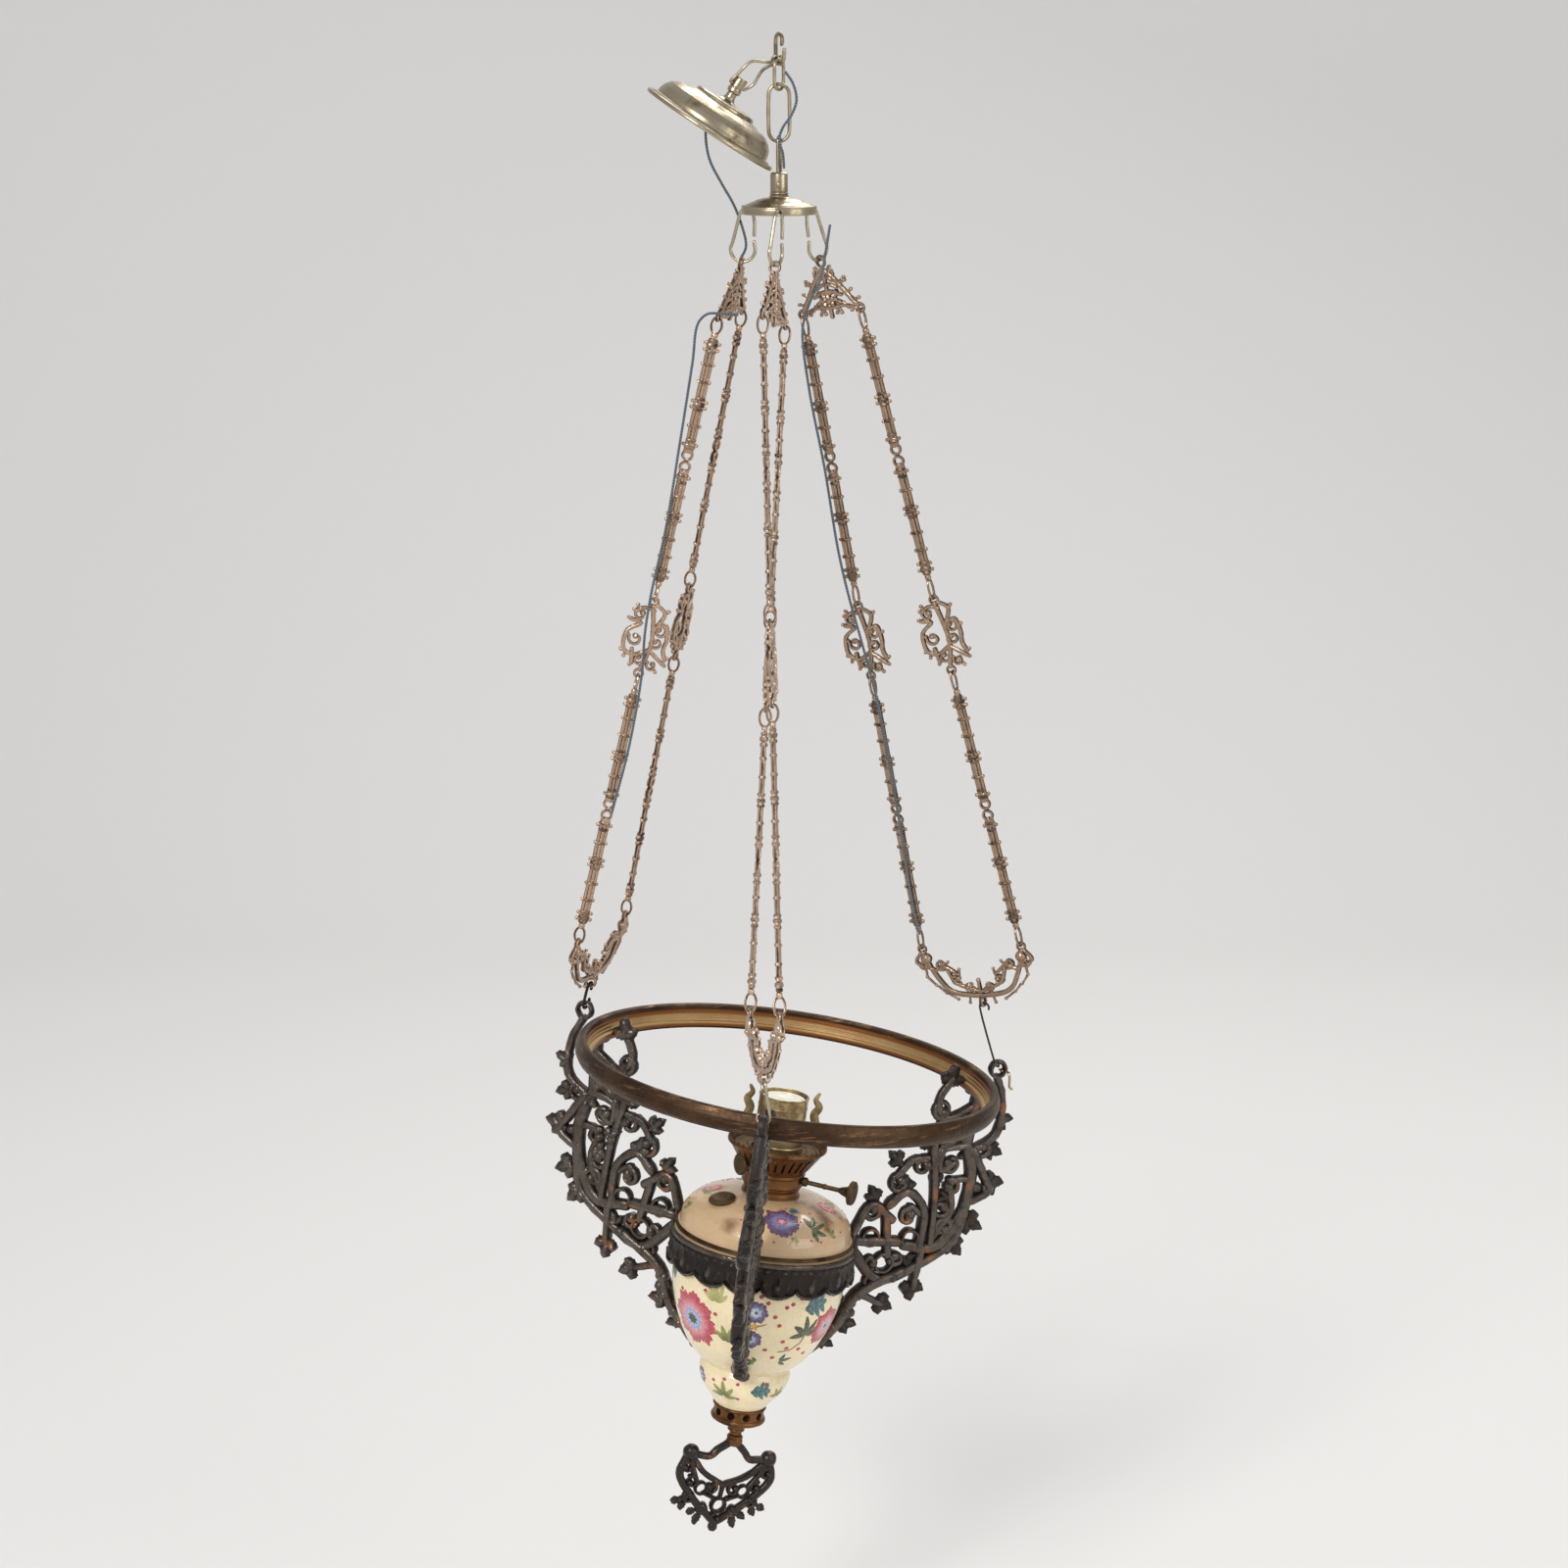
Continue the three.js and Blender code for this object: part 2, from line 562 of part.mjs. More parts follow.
// Long bar with knobs, collars and a pierced middle, drawn as a flat outline with holes
function barOutline() {
  const half = bar.length / 2;
  const w = bar.width / 2;
  const quarter = [
    [7, 4], [w, 12], [w + 4, 15], [w, 18], [w, 43], [w + 4, 48], [w, 53], [w, 87], [w + 3.4, 97], [2.6, 102],
    [3.6, half + 3],
  ];
  const outline = [
    ...quarter, ...quarter.map(([x, z]) => [-x, z]).reverse(),
    ...quarter.map(([x, z]) => [-x, -z]), ...quarter.map(([x, z]) => [x, -z]).reverse(),
  ].map(([x, z]) => new THREE.Vector2(x, z));
  const shape = new THREE.Shape(outline);
  for (const side of [-1, 1]) {
    const middle = 4.4 * side;
    const hole = [[2.4, 0], [0, 2.8], [-2.4, 0], [0, -2.8]].map(([x, z]) => new THREE.Vector2(x, middle + z));
    shape.holes.push(new THREE.Path(hole));
  }
  return shape;
}

function barCasting() {
  const flat = new THREE.ExtrudeGeometry(barOutline(), { depth: castThickness, bevelEnabled: false });
  return flat.translate(0, 0, -castThickness / 2).rotateX(Math.PI / 2);
}

const plainBar = barCasting();

// A chain link across the bar, flat at the ends; its top is at z = 0
function smallLink(length) {
  const w = chainLink.width / 2;
  const flat = w * 0.62;
  const points = [
    V3(0, flat, 0), V3(0, -flat, 0), V3(0, -w, -length / 2), V3(0, -flat, -length), V3(0, flat, -length),
    V3(0, w, -length / 2),
  ];
  return wireThrough(points, chainLink.wire, 4, true);
}

// A bar with the small links at its two ends, which it is closed into, each turned to its neighbour
const linkBite = eye.hole - chainLink.wire / 2;
function linkedBar(pitch, topTurn, footTurn) {
  const half = bar.length / 2;
  const length = pitch - (linkBite - seatGap) - (linkBite + weld);
  return join(
    plainBar,
    smallLink(length).rotateZ(topTurn).translate(0, 0, half + pitch - (linkBite - seatGap)),
    smallLink(length).rotateZ(footTurn).translate(0, 0, -half - linkBite - weld),
  );
}

// A wire with a hook at each end, from one eye down to another; the two curls open to opposite sides
function doubleHook(from, to, fromSide, toSide, { wire: diameter, bend }) {
  const down = to.clone().sub(from).normalize();
  const square = (side) => side.clone().addScaledVector(down, -side.dot(down)).normalize();
  const curl = (centre, side, angles) => angles.map((angle) => centre.clone()
    .addScaledVector(side, bend * Math.cos(rad(angle)))
    .addScaledVector(down, -bend * Math.sin(rad(angle))));
  const topCentre = from.clone().addScaledVector(down, bend);
  const lowCentre = to.clone().addScaledVector(down, -bend);
  const turns = [-30, 0, 30, 60, 90, 120, 150, 180];
  const line = [
    ...curl(topCentre, square(fromSide), turns),
    ...curl(lowCentre, square(toSide), turns.map((angle) => angle + 180)).reverse(),
  ];
  return wireThrough(line, diameter, 6);
}

// One chain, hung straight between the foot of its cap hook and the eye of its arm
const strands = {};
function hangingChain({ name, hookTurn, slack, crownTurn, yokeTurn, faces, arm }) {
  const drop = castingsLong + slack;
  const from = hookFoot[name];
  const armSeat = toLamp(armEyeCentre(arm));
  const down = armSeat.clone().sub(from).normalize();
  const group = new THREE.Group();
  const hang = (start, way, depth, turn, item) => {
    const holder = hung(start.clone().addScaledVector(way, depth), around(turn), way);
    group.add(holder.add(item));
    return holder;
  };
  const square = (degrees) => {
    const side = around(degrees);
    return side.addScaledVector(down, -side.dot(down)).normalize();
  };
  const crownWay = square(crownTurn);
  const yokeWay = square(yokeTurn);
  const yokeTop = drop - yoke.height;
  const eyeTurn = hookTurn - 90 - crownTurn;
  hang(from, down, 0, crownTurn, piece(`crown_${name}`, crownCasting(eyeTurn), finish.rustyIron));
  hang(from, down, yokeTop, yokeTurn, piece(`yoke_${name}`, yokeCasting(), finish.rustyIron));
  const sign = Math.sign(crownWay.dot(yokeWay));
  [-1, 1].forEach((side, i) => {
    const top = from.clone().addScaledVector(down, crown.height)
      .addScaledVector(crownWay, side * crown.halfWidth);
    const foot = from.clone().addScaledVector(down, yokeTop)
      .addScaledVector(yokeWay, side * sign * yoke.halfWidth);
    const way = foot.clone().sub(top).normalize();
    const pitch = (top.distanceTo(foot) - 2 * bar.length - plateLength) / 4;
    const face = faces[i];
    const tag = `${name}_${'ab'[i]}`;
    const upper = linkedBar(pitch, rad(crownTurn - face), 0);
    const lower = linkedBar(pitch, 0, rad(yokeTurn - face));
    hang(top, way, pitch + bar.length / 2, face, piece(`upper_bar_${tag}`, upper, finish.rustyIron));
    hang(top, way, 2 * pitch + bar.length, face, piece(`mid_plate_${tag}`, plateCasting(), finish.rustyIron));
    hang(top, way, 3 * pitch + 1.5 * bar.length + plateLength, face,
      piece(`lower_bar_${tag}`, lower, finish.rustyIron));
    strands[tag] = hung(top, around(face), way);
  });
  const curl = name === 'right' ? tieWire : sHook;
  const gap = wireGap + seatGap;
  const lugRest = hookEye.hole - seat(curl.bend, curl.wire, wireGap);
  const eyeRest = armEye.hole - seat(curl.bend, curl.wire, gap);
  const lugSeat = from.clone().addScaledVector(down, drop + lugRest);
  const eyeSeat = armSeat.clone().addScaledVector(down, -eyeRest);
  const itemName = { left: 's_hook_left', front: 's_hook_front', right: 'tie_wire_right' }[name];
  const item = doubleHook(lugSeat, eyeSeat, around(yokeTurn), around(arm + 90), curl);
  group.add(piece(itemName, item, finish.steelWire));
  return group;
}

// The basket hangs out of level
const basketTurn = new THREE.Matrix4()
  .makeRotationFromEuler(new THREE.Euler(rad(basketNod), rad(basketRoll), 0));
const toLamp = (p) => p.clone().applyMatrix4(basketTurn).add(basketCentre);
const armEyeCentre = (degrees) => around(degrees).multiplyScalar(armEye.r).addScaledVector(Z, armEye.z);

// A round tool lying along X, for cross holes and side fittings
const peg = (radius, length, sides, x = 0) => disc(radius, length, sides).rotateY(Math.PI / 2)
  .translate(x, 0, 0);

// Shade ring, in the basket frame: z = 0 half way up the ring
const ringFoot = -10.5;
function shadeRing() {
  const { radius, depth, ledge } = ring;
  const inner = radius - depth;
  const outline = [
    [radius - 6, 9.5], [radius - 2, 6.5], [radius, 0], [radius - 3, -8], [radius - 8, ringFoot],
    [inner, ringFoot], [inner, -4.6], [inner + ledge, -4.6], [inner + ledge + 2, 8.5],
  ];
  return piece('shade_ring', turned(outline, 32), finish.brass);
}

// Pierced bracket casting, drawn in the plane of its arm: x outwards from the lamp's middle
function armCasting() {
  const { main, leaf, fine, tail } = armThickness;
  const strap = 3.4;
  const strapMiddle = band.radius + band.lip + seatGap + strap / 2;
  const seatTop = ringFoot - seatGap;
  const holed = (x, z, radius, width) => castEye(x, z, { hole: radius - width, width, thickness: main }, 6);
  return join(
    castEye(armEye.r, armEye.z, { hole: armEye.hole, width: armEye.width }, 10),
    stroke([[armEye.r, 0], [armEye.r + 8, -20], [armEye.r + 7, -52], [184, -68]], [4.4, 6], main, 4),
    stroke([[175, seatTop - 2.5], [191, seatTop - 2.5]], 5, main, 1),
    stroke([[184, seatTop - 2], [180, -60]], [8, 9], main, 1),
    stroke([[182, -26], [156, -38], [147, -24], [157, -3]], [5, 5.5], fine, 4),
    stroke([[178, -56], [189, -88], [184, -128], [163, -156], [134, -154]], [9, 8], main, 6),
    stroke([[187, -66], [200, -88], [208, -103], [193, -113]], [6, 6.5], leaf, 3),
    stroke([[182, -62], [158, -67], [158, -85], [170, -78]], [6, 5], leaf, 4),
    stroke([[148, -62], [156, -106], [159, -156]], [6.5, 5], main, 3),
    stroke([[152, -84], [158, -64], [181, -51]], [6, 6], main, 2),
    stroke([[149, -66], [152, -38]], [5, 5], fine, 1),
    stroke([[153, -84], [134, -75], [117, -92]], [5.5, 5], fine, 3),
    stroke([[188, -93], [171, -96], [174, -122], [160, -148]], [5, 5.5], fine, 4),
    stroke([[113, -118], [129, -105], [147, -120], [148, -158]], 6.5, leaf, 4),
    stroke([[149, -128], [134, -119], [134, -131]], [4.6, 5], fine, 2),
    stroke([[83, -143], [97, -117], [119, -131]], [6, 6], main, 3),
    holed(100, -147, 9.5, 4),
    holed(138, -148, 9.5, 4),
    holed(116, -170, 10.5, 4.5),
    stroke([[88, -150], [128, -151]], 9, main, 1),
    stroke([[112, -126], [119, -163]], 7, main, 1),
    stroke([[188, -124], [180, -151], [150, -172], [114, -186], [84, -158]], [6, 8], main, 5),
    stroke([[151, -156], [148, -192]], [7, 6], leaf, 1),
    stroke([[strapMiddle, -142], [strapMiddle, -176]], strap, main, 1),
    stroke([[135, -178], [94, -200], [78, -230], [49, -256]], [8, 7], tail, 4),
    stroke([[96, -198], [119, -208]], [6, 5], fine, 1),
  );
}

// Gallery band: an open ring with a ledge for the vase and a scalloped lower edge
const vaseTop = band.top - 1.5;
const vaseLedge = vaseTop - vaseLip.height - seatGap;
const vaseFoot = -298;
function galleryBand() {
  const { radius, wall, top, lip, height, scallops, scallopDepth } = band;
  const inner = radius - wall;
  const lobe = [0, 1];
  const recess = (vaseLip.radius + seatGap) / Math.cos(Math.PI / (scallops * lobe.length));
  const rings = [];
  for (let i = 0; i < scallops * lobe.length; i += 1) {
    const a = (i / (scallops * lobe.length)) * Math.PI * 2;
    const foot = top - height - scallopDepth * lobe[i % lobe.length];
    const ray = (r, z) => V3(Math.cos(a) * r, Math.sin(a) * r, z);
    rings.push([
      ray(recess, top), ray(radius + lip, top), ray(radius + lip, top - 4), ray(radius, top - 5),
      ray(radius, foot), ray(inner, foot), ray(inner, vaseLedge), ray(recess, vaseLedge),
    ]);
  }
  return piece('gallery_band', skin(rings, true), finish.agedBrass);
}

// Vase: a glazed bowl with a stepped foot, open at the top, drilled for the tie rod
function vase() {
  const lipFoot = vaseTop - vaseLip.height;
  const bore = tieRod.radius + pivotGap;
  const floor = vaseFoot + vaseWall;
  const outline = [
    [vaseLip.radius, vaseTop], [vaseLip.radius, lipFoot], [74.4, lipFoot - 0.1], [74.2, -172], [72.6, -196],
    [66, -219], [54, -243], [41.5, -256.5], [37, -259.5], [39.5, -266], [36, -279], [27, -291.5],
    [22, vaseFoot],
    [bore, vaseFoot], [bore, floor], [20, floor], [30.6, -279], [34, -266], [32.4, -260], [37, -254],
    [49, -240], [61, -216], [67.6, -195], [69.6, -170], [72.8, vaseTop],
  ];
  return piece('vase', turned(outline, 18), finish.glaze);
}

// Font: a glazed oil vessel with a domed top, its rim on the lip of the vase
const fontSeat = vaseTop + seatGap;
const domeFoot = fontSeat + font.rimHeight;
const domeAt = (r) => {
  const { domeRadius, domeHeight, domePower } = font;
  return domeFoot + domeHeight * (1 - (r / domeRadius) ** domePower) ** (1 / domePower);
};
const fontTop = domeAt(font.mouth);
const collarSkirt = { radius: 19.6, depth: 6 };
function oilFont() {
  const { rimRadius, domeRadius, wall, mouth, bodyDepth } = font;
  const domeRadii = [70.5, 62, 48, 32];
  const outer = domeRadii.map((r) => [r, domeAt(r)]);
  const inner = domeRadii.map((r) => [r - wall * (r / domeRadius) - 0.4, domeAt(r) - wall]);
  const hole = collarSkirt.radius + seatGap;
  const foot = fontSeat - bodyDepth;
  const outline = [
    [hole, fontTop], [mouth + 1, fontTop], ...outer.reverse(), [domeRadius, domeFoot],
    [rimRadius, domeFoot - 1],
    [rimRadius, fontSeat], [68, fontSeat], [66, -190], [40, foot], [0, foot], [0, foot + wall],
    [38.8, foot + wall], [63.4, -189], [65.4, domeFoot], ...inner, [hole, fontTop - wall],
  ];
  const bore = disc(filler.hole, 12, 12).applyMatrix4(fillerPose());
  return piece('font', cut(turned(outline, 18), bore), finish.glaze);
}

// Where the filler stands on the dome, its Z square to the glaze
function fillerPose() {
  const r = filler.circle;
  const slope = (domeAt(r + 1) - domeAt(r - 1)) / 2;
  const up = around(filler.turn).multiplyScalar(-slope).addScaledVector(Z, 1).normalize();
  const along = around(filler.turn + 90);
  const at = around(filler.turn).multiplyScalar(r).addScaledVector(Z, domeAt(r));
  return new THREE.Matrix4().makeBasis(along.clone().cross(up), along, up).setPosition(at);
}

function fillerCap() {
  const { radius, height, stub } = filler;
  const lift = 0.9;
  const outline = [
    [0, lift + height], [radius - 3, lift + height], [radius, lift + height - 1.6], [radius, lift],
    [stub, lift], [stub, lift - 6], [0, lift - 6],
  ];
  return piece('filler_cap', turned(outline, 16).applyMatrix4(fillerPose()), finish.tarnish);
}

// Burner: copper collar on the font, bowl screwed into it, lamp tube standing in the bowl
const collarFoot = fontTop + seatGap;
const collarTop = collarFoot + burner.collarHeight;
const spigot = { radius: 16.6, depth: 8, wall: 1.8 };
function burnerCollar() {
  const { collarRadius } = burner;
  const bore = spigot.radius + seatGap;
  const outline = [
    [bore, collarTop], [collarRadius, collarTop], [collarRadius - 1.6, collarTop - 4.4],
    [collarRadius, collarFoot], [collarSkirt.radius, collarFoot],
    [collarSkirt.radius, collarFoot - collarSkirt.depth], [bore, collarFoot - collarSkirt.depth],
  ];
  return piece('burner_collar', turned(outline, 18), finish.copper);
}

const bowlFoot = collarTop + seatGap;
const spindleHeight = bowlFoot + 6.4;
function burnerBody() {
  const { bowlRadius, bowlHeight, rimRadius, rimHeight, rimWidth, wall } = burner;
  const coneFoot = bowlFoot + bowlHeight;
  const rim = coneFoot + rimHeight;
  const inner = spigot.radius - spigot.wall;
  const outline = [
    [inner, bowlFoot - spigot.depth], [spigot.radius, bowlFoot - spigot.depth], [spigot.radius, bowlFoot],
    [bowlRadius, bowlFoot], [bowlRadius, coneFoot], [rimRadius, rim - 2.4], [rimRadius, rim],
    [rimRadius - rimWidth, rim], [rimRadius - rimWidth, rim - 2.4], [bowlRadius - wall, coneFoot],
    [bowlRadius - wall, bowlFoot + wall], [inner, bowlFoot + wall],
  ];
  const level = coneFoot + 5;
  const side = join(peg(3.4, 7, 8, 31.5), peg(sideCap.radius, sideCap.width, 12, 35))
    .rotateZ(rad(sideCap.turn)).translate(0, 0, level);
  const shaftHole = peg(spindle.radius + pivotGap / 2, 12, 8, bowlRadius)
    .rotateZ(rad(spindle.turn)).translate(0, 0, spindleHeight);
  return piece('burner_body', cut(join(turned(outline, 20), side), shaftHole), finish.tarnish);
}

const tubeFoot = bowlFoot + burner.wall + seatGap;
const tubeTop = tubeFoot + burner.tubeHeight;
function lampTube() {
  const { tubeRadius, tubeWall } = burner;
  const bore = tubeRadius - tubeWall;
  const ledge = tubeTop - insert.depth - insert.height - seatGap;
  const prong = { width: 6, thickness: 1.2, reach: 30.6, foot: tubeTop - 44, top: tubeTop + 5 };
  const outline = [
    [tubeRadius, tubeTop], [tubeRadius, tubeFoot], [bore, tubeFoot], [bore, ledge - 2], [bore - 1.4, ledge],
    [bore, ledge + 0.2], [bore, tubeTop],
  ];
  const shaftHole = peg(spindle.radius + pivotGap, 8, 8, tubeRadius)
    .rotateZ(rad(spindle.turn)).translate(0, 0, spindleHeight);
  const line = [
    [tubeRadius - 0.8, prong.foot], [prong.reach, prong.foot], [prong.reach, prong.foot + 20],
    [prong.reach - 2, prong.foot + 30], [prong.reach, prong.top],
  ];
  const prongs = [0, 180].map((turn) => ribbon(line, prong.thickness, prong.width).rotateZ(rad(turn)));
  return piece('lamp_tube', join(cut(turned(outline, 20), shaftHole), prongs), finish.brass);
}

// A strip of springy metal bent through hand-set points in the XZ plane
function ribbon(line, thickness, width) {
  const points = line.map(([x, z]) => new THREE.Vector2(x, z));
  const rings = points.map((p, i) => {
    const before = points[Math.max(i - 1, 0)];
    const after = points[Math.min(i + 1, points.length - 1)];
    const way = after.clone().sub(before).normalize();
    const side = new THREE.Vector2(-way.y, way.x).multiplyScalar(thickness / 2);
    const y = width / 2;
    return [V3(p.x + side.x, -y, p.y + side.y), V3(p.x - side.x, -y, p.y - side.y),
      V3(p.x - side.x, y, p.y - side.y), V3(p.x + side.x, y, p.y + side.y)];
  });
  return skin(rings, false);
}

function socketInsert() {
  const top = tubeTop - insert.depth;
  const r = burner.tubeRadius - burner.tubeWall - wireGap;
  const foot = top - insert.height;
  const outline = [[0, top], [r - 2, top], [r, top - 1.4], [r, foot], [0, foot]];
  const slots = [-1, 1].map((side) => disc(1.6, 8, 6).translate(side * 7, 0, top));
  return piece('socket_insert', cut(turned(outline, 16), slots), finish.porcelain);
}

function wickSpindle() {
  const { radius, turn, reach, knobRadius, knobWidth } = spindle;
  const inner = burner.tubeRadius - 0.4;
  const geometry = join(
    peg(radius, reach - inner, 8, (reach + inner) / 2),
    peg(radius + 2, 4, 8, burner.bowlRadius + 3),
    peg(knobRadius, knobWidth, 16, reach),
  ).rotateZ(rad(turn)).translate(0, 0, spindleHeight);
  return piece('wick_spindle', geometry, finish.tarnish);
}

// Base collar, tie rod and pull handle
const baseTop = vaseFoot - seatGap;
const baseFoot = baseTop - base.height - base.stemLength - 2.2;
const bossTop = baseFoot - seatGap;
function baseCollar() {
  const { radius, height, wall, holes, holeRadius, stemRadius } = base;
  const bore = tieRod.radius + pivotGap;
  const foot = baseFoot - baseTop;
  const outline = [
    [radius - wall, 0], [radius, 0], [radius, -height], [radius - 3.2, -height - 2], [9, -height - 5],
    [stemRadius, foot], [bore, foot], [bore, -height - 2], [radius - wall, -height + 2],
  ];
  const bores = Array.from({ length: holes }, (_, i) => peg(holeRadius, 3 * wall, 6, radius - wall / 2)
    .rotateZ((i * 2 * Math.PI) / holes).translate(0, 0, -height / 2 - 0.4));
  return piece('base_collar', cut(turned(outline, 16), bores).translate(0, 0, baseTop), finish.tarnish);
}

function tieRodAndNut() {
  const nutFoot = vaseFoot + vaseWall + seatGap;
  const nutTop = nutFoot + tieRod.nutHeight;
  const top = nutTop + 3;
  const foot = bossTop - handle.bossHeight + 2.4;
  const rod = disc(tieRod.radius, top - foot, 8).translate(0, 0, (top + foot) / 2);
  const nut = disc(tieRod.nut, tieRod.nutHeight, 6).translate(0, 0, (nutTop + nutFoot) / 2);
  return piece('tie_rod', join(rod, nut), finish.steelWire);
}

function pullHandle() {
  const { thickness: t, ball, halfWidth: w, tilt, turn, bossRadius, bossHeight: h } = handle;
  const pierced = (x, z, hole, width) => castEye(x, z, { hole, width, thickness: t }, 6);
  const plate = join(
    pair([[4, -h + 3], [15, -h - 12], [w - 3, -h - 12]], [6, 5], t, 3),
    nub(-w, -h - 10, ball),
    nub(w, -h - 10, ball),
    pair([[w + 2, -h - 13], [w + 5, -h - 30], [24, -h - 53], [0, -h - 72]], 6, t, 4),
    pair([[w - 3, -h - 14], [20, -h - 28], [0, -h - 37]], 4.4, t, 2),
    pair([[w - 2, -h - 16], [24, -h - 38]], [4, 4.4], t, 1),
    pierced(-20, -h - 42, 4.4, 3),
    pierced(20, -h - 42, 4.4, 3),
    pierced(0, -h - 56, 4.8, 3.6),
    stroke([[0, -h - 36], [0, -h - 50]], 4, t, 1),
    pair([[6, -h - 50], [17, -h - 46]], 4, t, 1),
    pair([[w - 6, -h - 50], [w, -h - 54]], [5, 4], t, 1),
    nub(0, -h - 75, 5.4),
  ).rotateY(-rad(tilt)).rotateZ(rad(turn));
  const boss = disc(bossRadius, h, 12).translate(0, 0, -h / 2);
  const bore = disc(tieRod.radius + pivotGap / 2, 2 * (h - 2), 8);
  return piece('pull_handle', cut(join(boss, plate), bore).translate(0, 0, bossTop), finish.bronze);
}

// An old wire hook left in the eye of the right arm, its lower curl pulled open
function brokenHookRight() {
  const { wire: diameter, bend, lean, tail } = brokenHook;
  const outwards = V3(Math.cos(rad(lean)), 0, Math.sin(rad(lean)));
  const middle = V3(armEye.r, 0, armEye.z).addScaledVector(outwards, armEye.hole + armEye.width / 2);
  const line = [215, 180, 145, 110, 75, 40, 5].map((angle) => middle.clone()
    .addScaledVector(outwards, bend * Math.cos(rad(angle)))
    .add(V3(0, bend * Math.sin(rad(angle)), 0)));
  const end = line[line.length - 1];
  line.push(...tail.map(([x, y, z]) => end.clone().add(V3(x, y, z))));
  const hook = piece('broken_hook_right', wireThrough(line, diameter, 6), finish.brass);
  hook.rotation.z = rad(chains[2].arm);
  return hook;
}

const basket = new THREE.Group();
basket.add(shadeRing(), galleryBand(), vase(), oilFont(), fillerCap(), burnerCollar(), burnerBody());
basket.add(lampTube(), socketInsert(), wickSpindle(), baseCollar(), tieRodAndNut(), pullHandle());
basket.add(brokenHookRight());
for (const { name, arm } of chains) {
  const bracket = piece(`arm_${name}`, armCasting(), finish.bronze);
  bracket.rotation.z = rad(arm);
  basket.add(bracket);
}
basket.applyMatrix4(basketTurn.clone().setPosition(basketCentre));
lamp.add(topHardware(), canopyGroup(), capHooks(), basket);
for (const chain of chains) {
  lamp.add(hangingChain(chain));
}

// Flexes: round cotton-covered wire with bare cut ends. Those on the chains follow one strand each;
// their points are [down the strand, across it, in front of it].
function flex(name, points, steps) {
  return piece(name, wire(points, 2 * flexRadius, { sides: 8, steps }), finish.flex);
}

function flexOnStrand(name, tag, route, steps) {
  const frame = strands[tag];
  frame.updateMatrix();
  const points = route.map(([down, across, front]) => V3(across, -front, -down).applyMatrix4(frame.matrix));
  return flex(name, points, steps);
}

lamp.add(
  flex('flex_feed', [
    V3(-58, 4, -66), V3(-59, 6, -80), V3(-56, 10, -98), V3(-46, 16, -118), V3(-37, 20, -134),
    V3(-30, 18.9, -152), V3(-27, 20.4, -168), V3(-32, 23.4, -179),
  ], 10),
  flex('flex_links', [
    V3(5, -7, -28), V3(11, -6, -37), V3(14, -5.6, -50), V3(10, -5.6, -62), V3(3, -5.8, -72), V3(0, -6, -82),
    V3(3, -7, -92), V3(4, -9, -104),
  ], 12),
  flexOnStrand('flex_left', 'left_a', [
    [-6, 14, 9], [-4, 2, 8], [-1, -10, 5], [8, -16, 5], [40, -13.5, 5], [110, -9, 5], [180, -5, 5],
    [236, -5, 5], [270, -3, 5.4], [305, 2, 5.4], [370, 5, 5], [430, 3, 5],
  ], 22),
  flexOnStrand('flex_right', 'right_a', [
    [-73, 45, 8], [-54, 38, 9], [-30, 28, 10], [-12, 14, 9], [10, 1, 6.8], [60, -4.5, 5.3], [130, -4, 5.3],
    [200, -6, 5], [240, -4, 5.4], [280, 0, 5.4], [330, 4, 5], [400, 4.6, 5], [470, 3, 5], [520, 2, 5.6],
    [548, 5, 8],
  ], 26),
);

export default lamp;
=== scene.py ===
"""A hanging oil lamp turned chandelier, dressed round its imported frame."""
import math

import bmesh
import bpy
from bpy.props import FloatProperty, FloatVectorProperty, PointerProperty
from mathutils import Matrix, Vector, noise


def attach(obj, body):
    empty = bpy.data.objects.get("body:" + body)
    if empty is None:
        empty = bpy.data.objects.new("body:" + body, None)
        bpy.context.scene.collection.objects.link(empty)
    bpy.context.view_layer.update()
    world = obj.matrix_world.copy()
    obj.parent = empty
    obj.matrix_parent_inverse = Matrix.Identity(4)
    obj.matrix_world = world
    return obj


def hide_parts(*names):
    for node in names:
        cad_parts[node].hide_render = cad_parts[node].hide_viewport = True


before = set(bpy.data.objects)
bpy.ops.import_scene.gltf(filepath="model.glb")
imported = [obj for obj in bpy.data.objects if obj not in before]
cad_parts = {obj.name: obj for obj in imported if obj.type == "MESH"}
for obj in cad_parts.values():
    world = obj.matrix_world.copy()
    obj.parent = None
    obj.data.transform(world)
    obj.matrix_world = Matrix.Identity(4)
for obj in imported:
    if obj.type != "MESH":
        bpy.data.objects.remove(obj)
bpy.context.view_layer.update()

bl_info = {
    "name": "Hanging oil lamp",
    "version": (1, 0, 0),
    "blender": (4, 5, 0),
    "location": "3D View > Sidebar > Lamp",
    "description": "Builds a painted oil lamp on three double chains of castings",
    "category": "Add Mesh",
}

MM = 0.001
X, Y, Z = Vector((1, 0, 0)), Vector((0, 1, 0)), Vector((0, 0, 1))


def linear(code):
    """A six-figure sRGB colour as the linear values that shaders take."""
    levels = [int(code[i:i + 2], 16) / 255 for i in (0, 2, 4)]
    return tuple(v / 12.92 if v <= 0.04045 else ((v + 0.055) / 1.055) ** 2.4 for v in levels)


def length(label, millimetres, text):
    return FloatProperty(name=label, description=text, default=millimetres * MM, min=0, unit="LENGTH",
                         precision=4)


def tone(label, code, text):
    return FloatVectorProperty(name=label, description=text, default=linear(code), min=0, max=1,
                               subtype="COLOR")


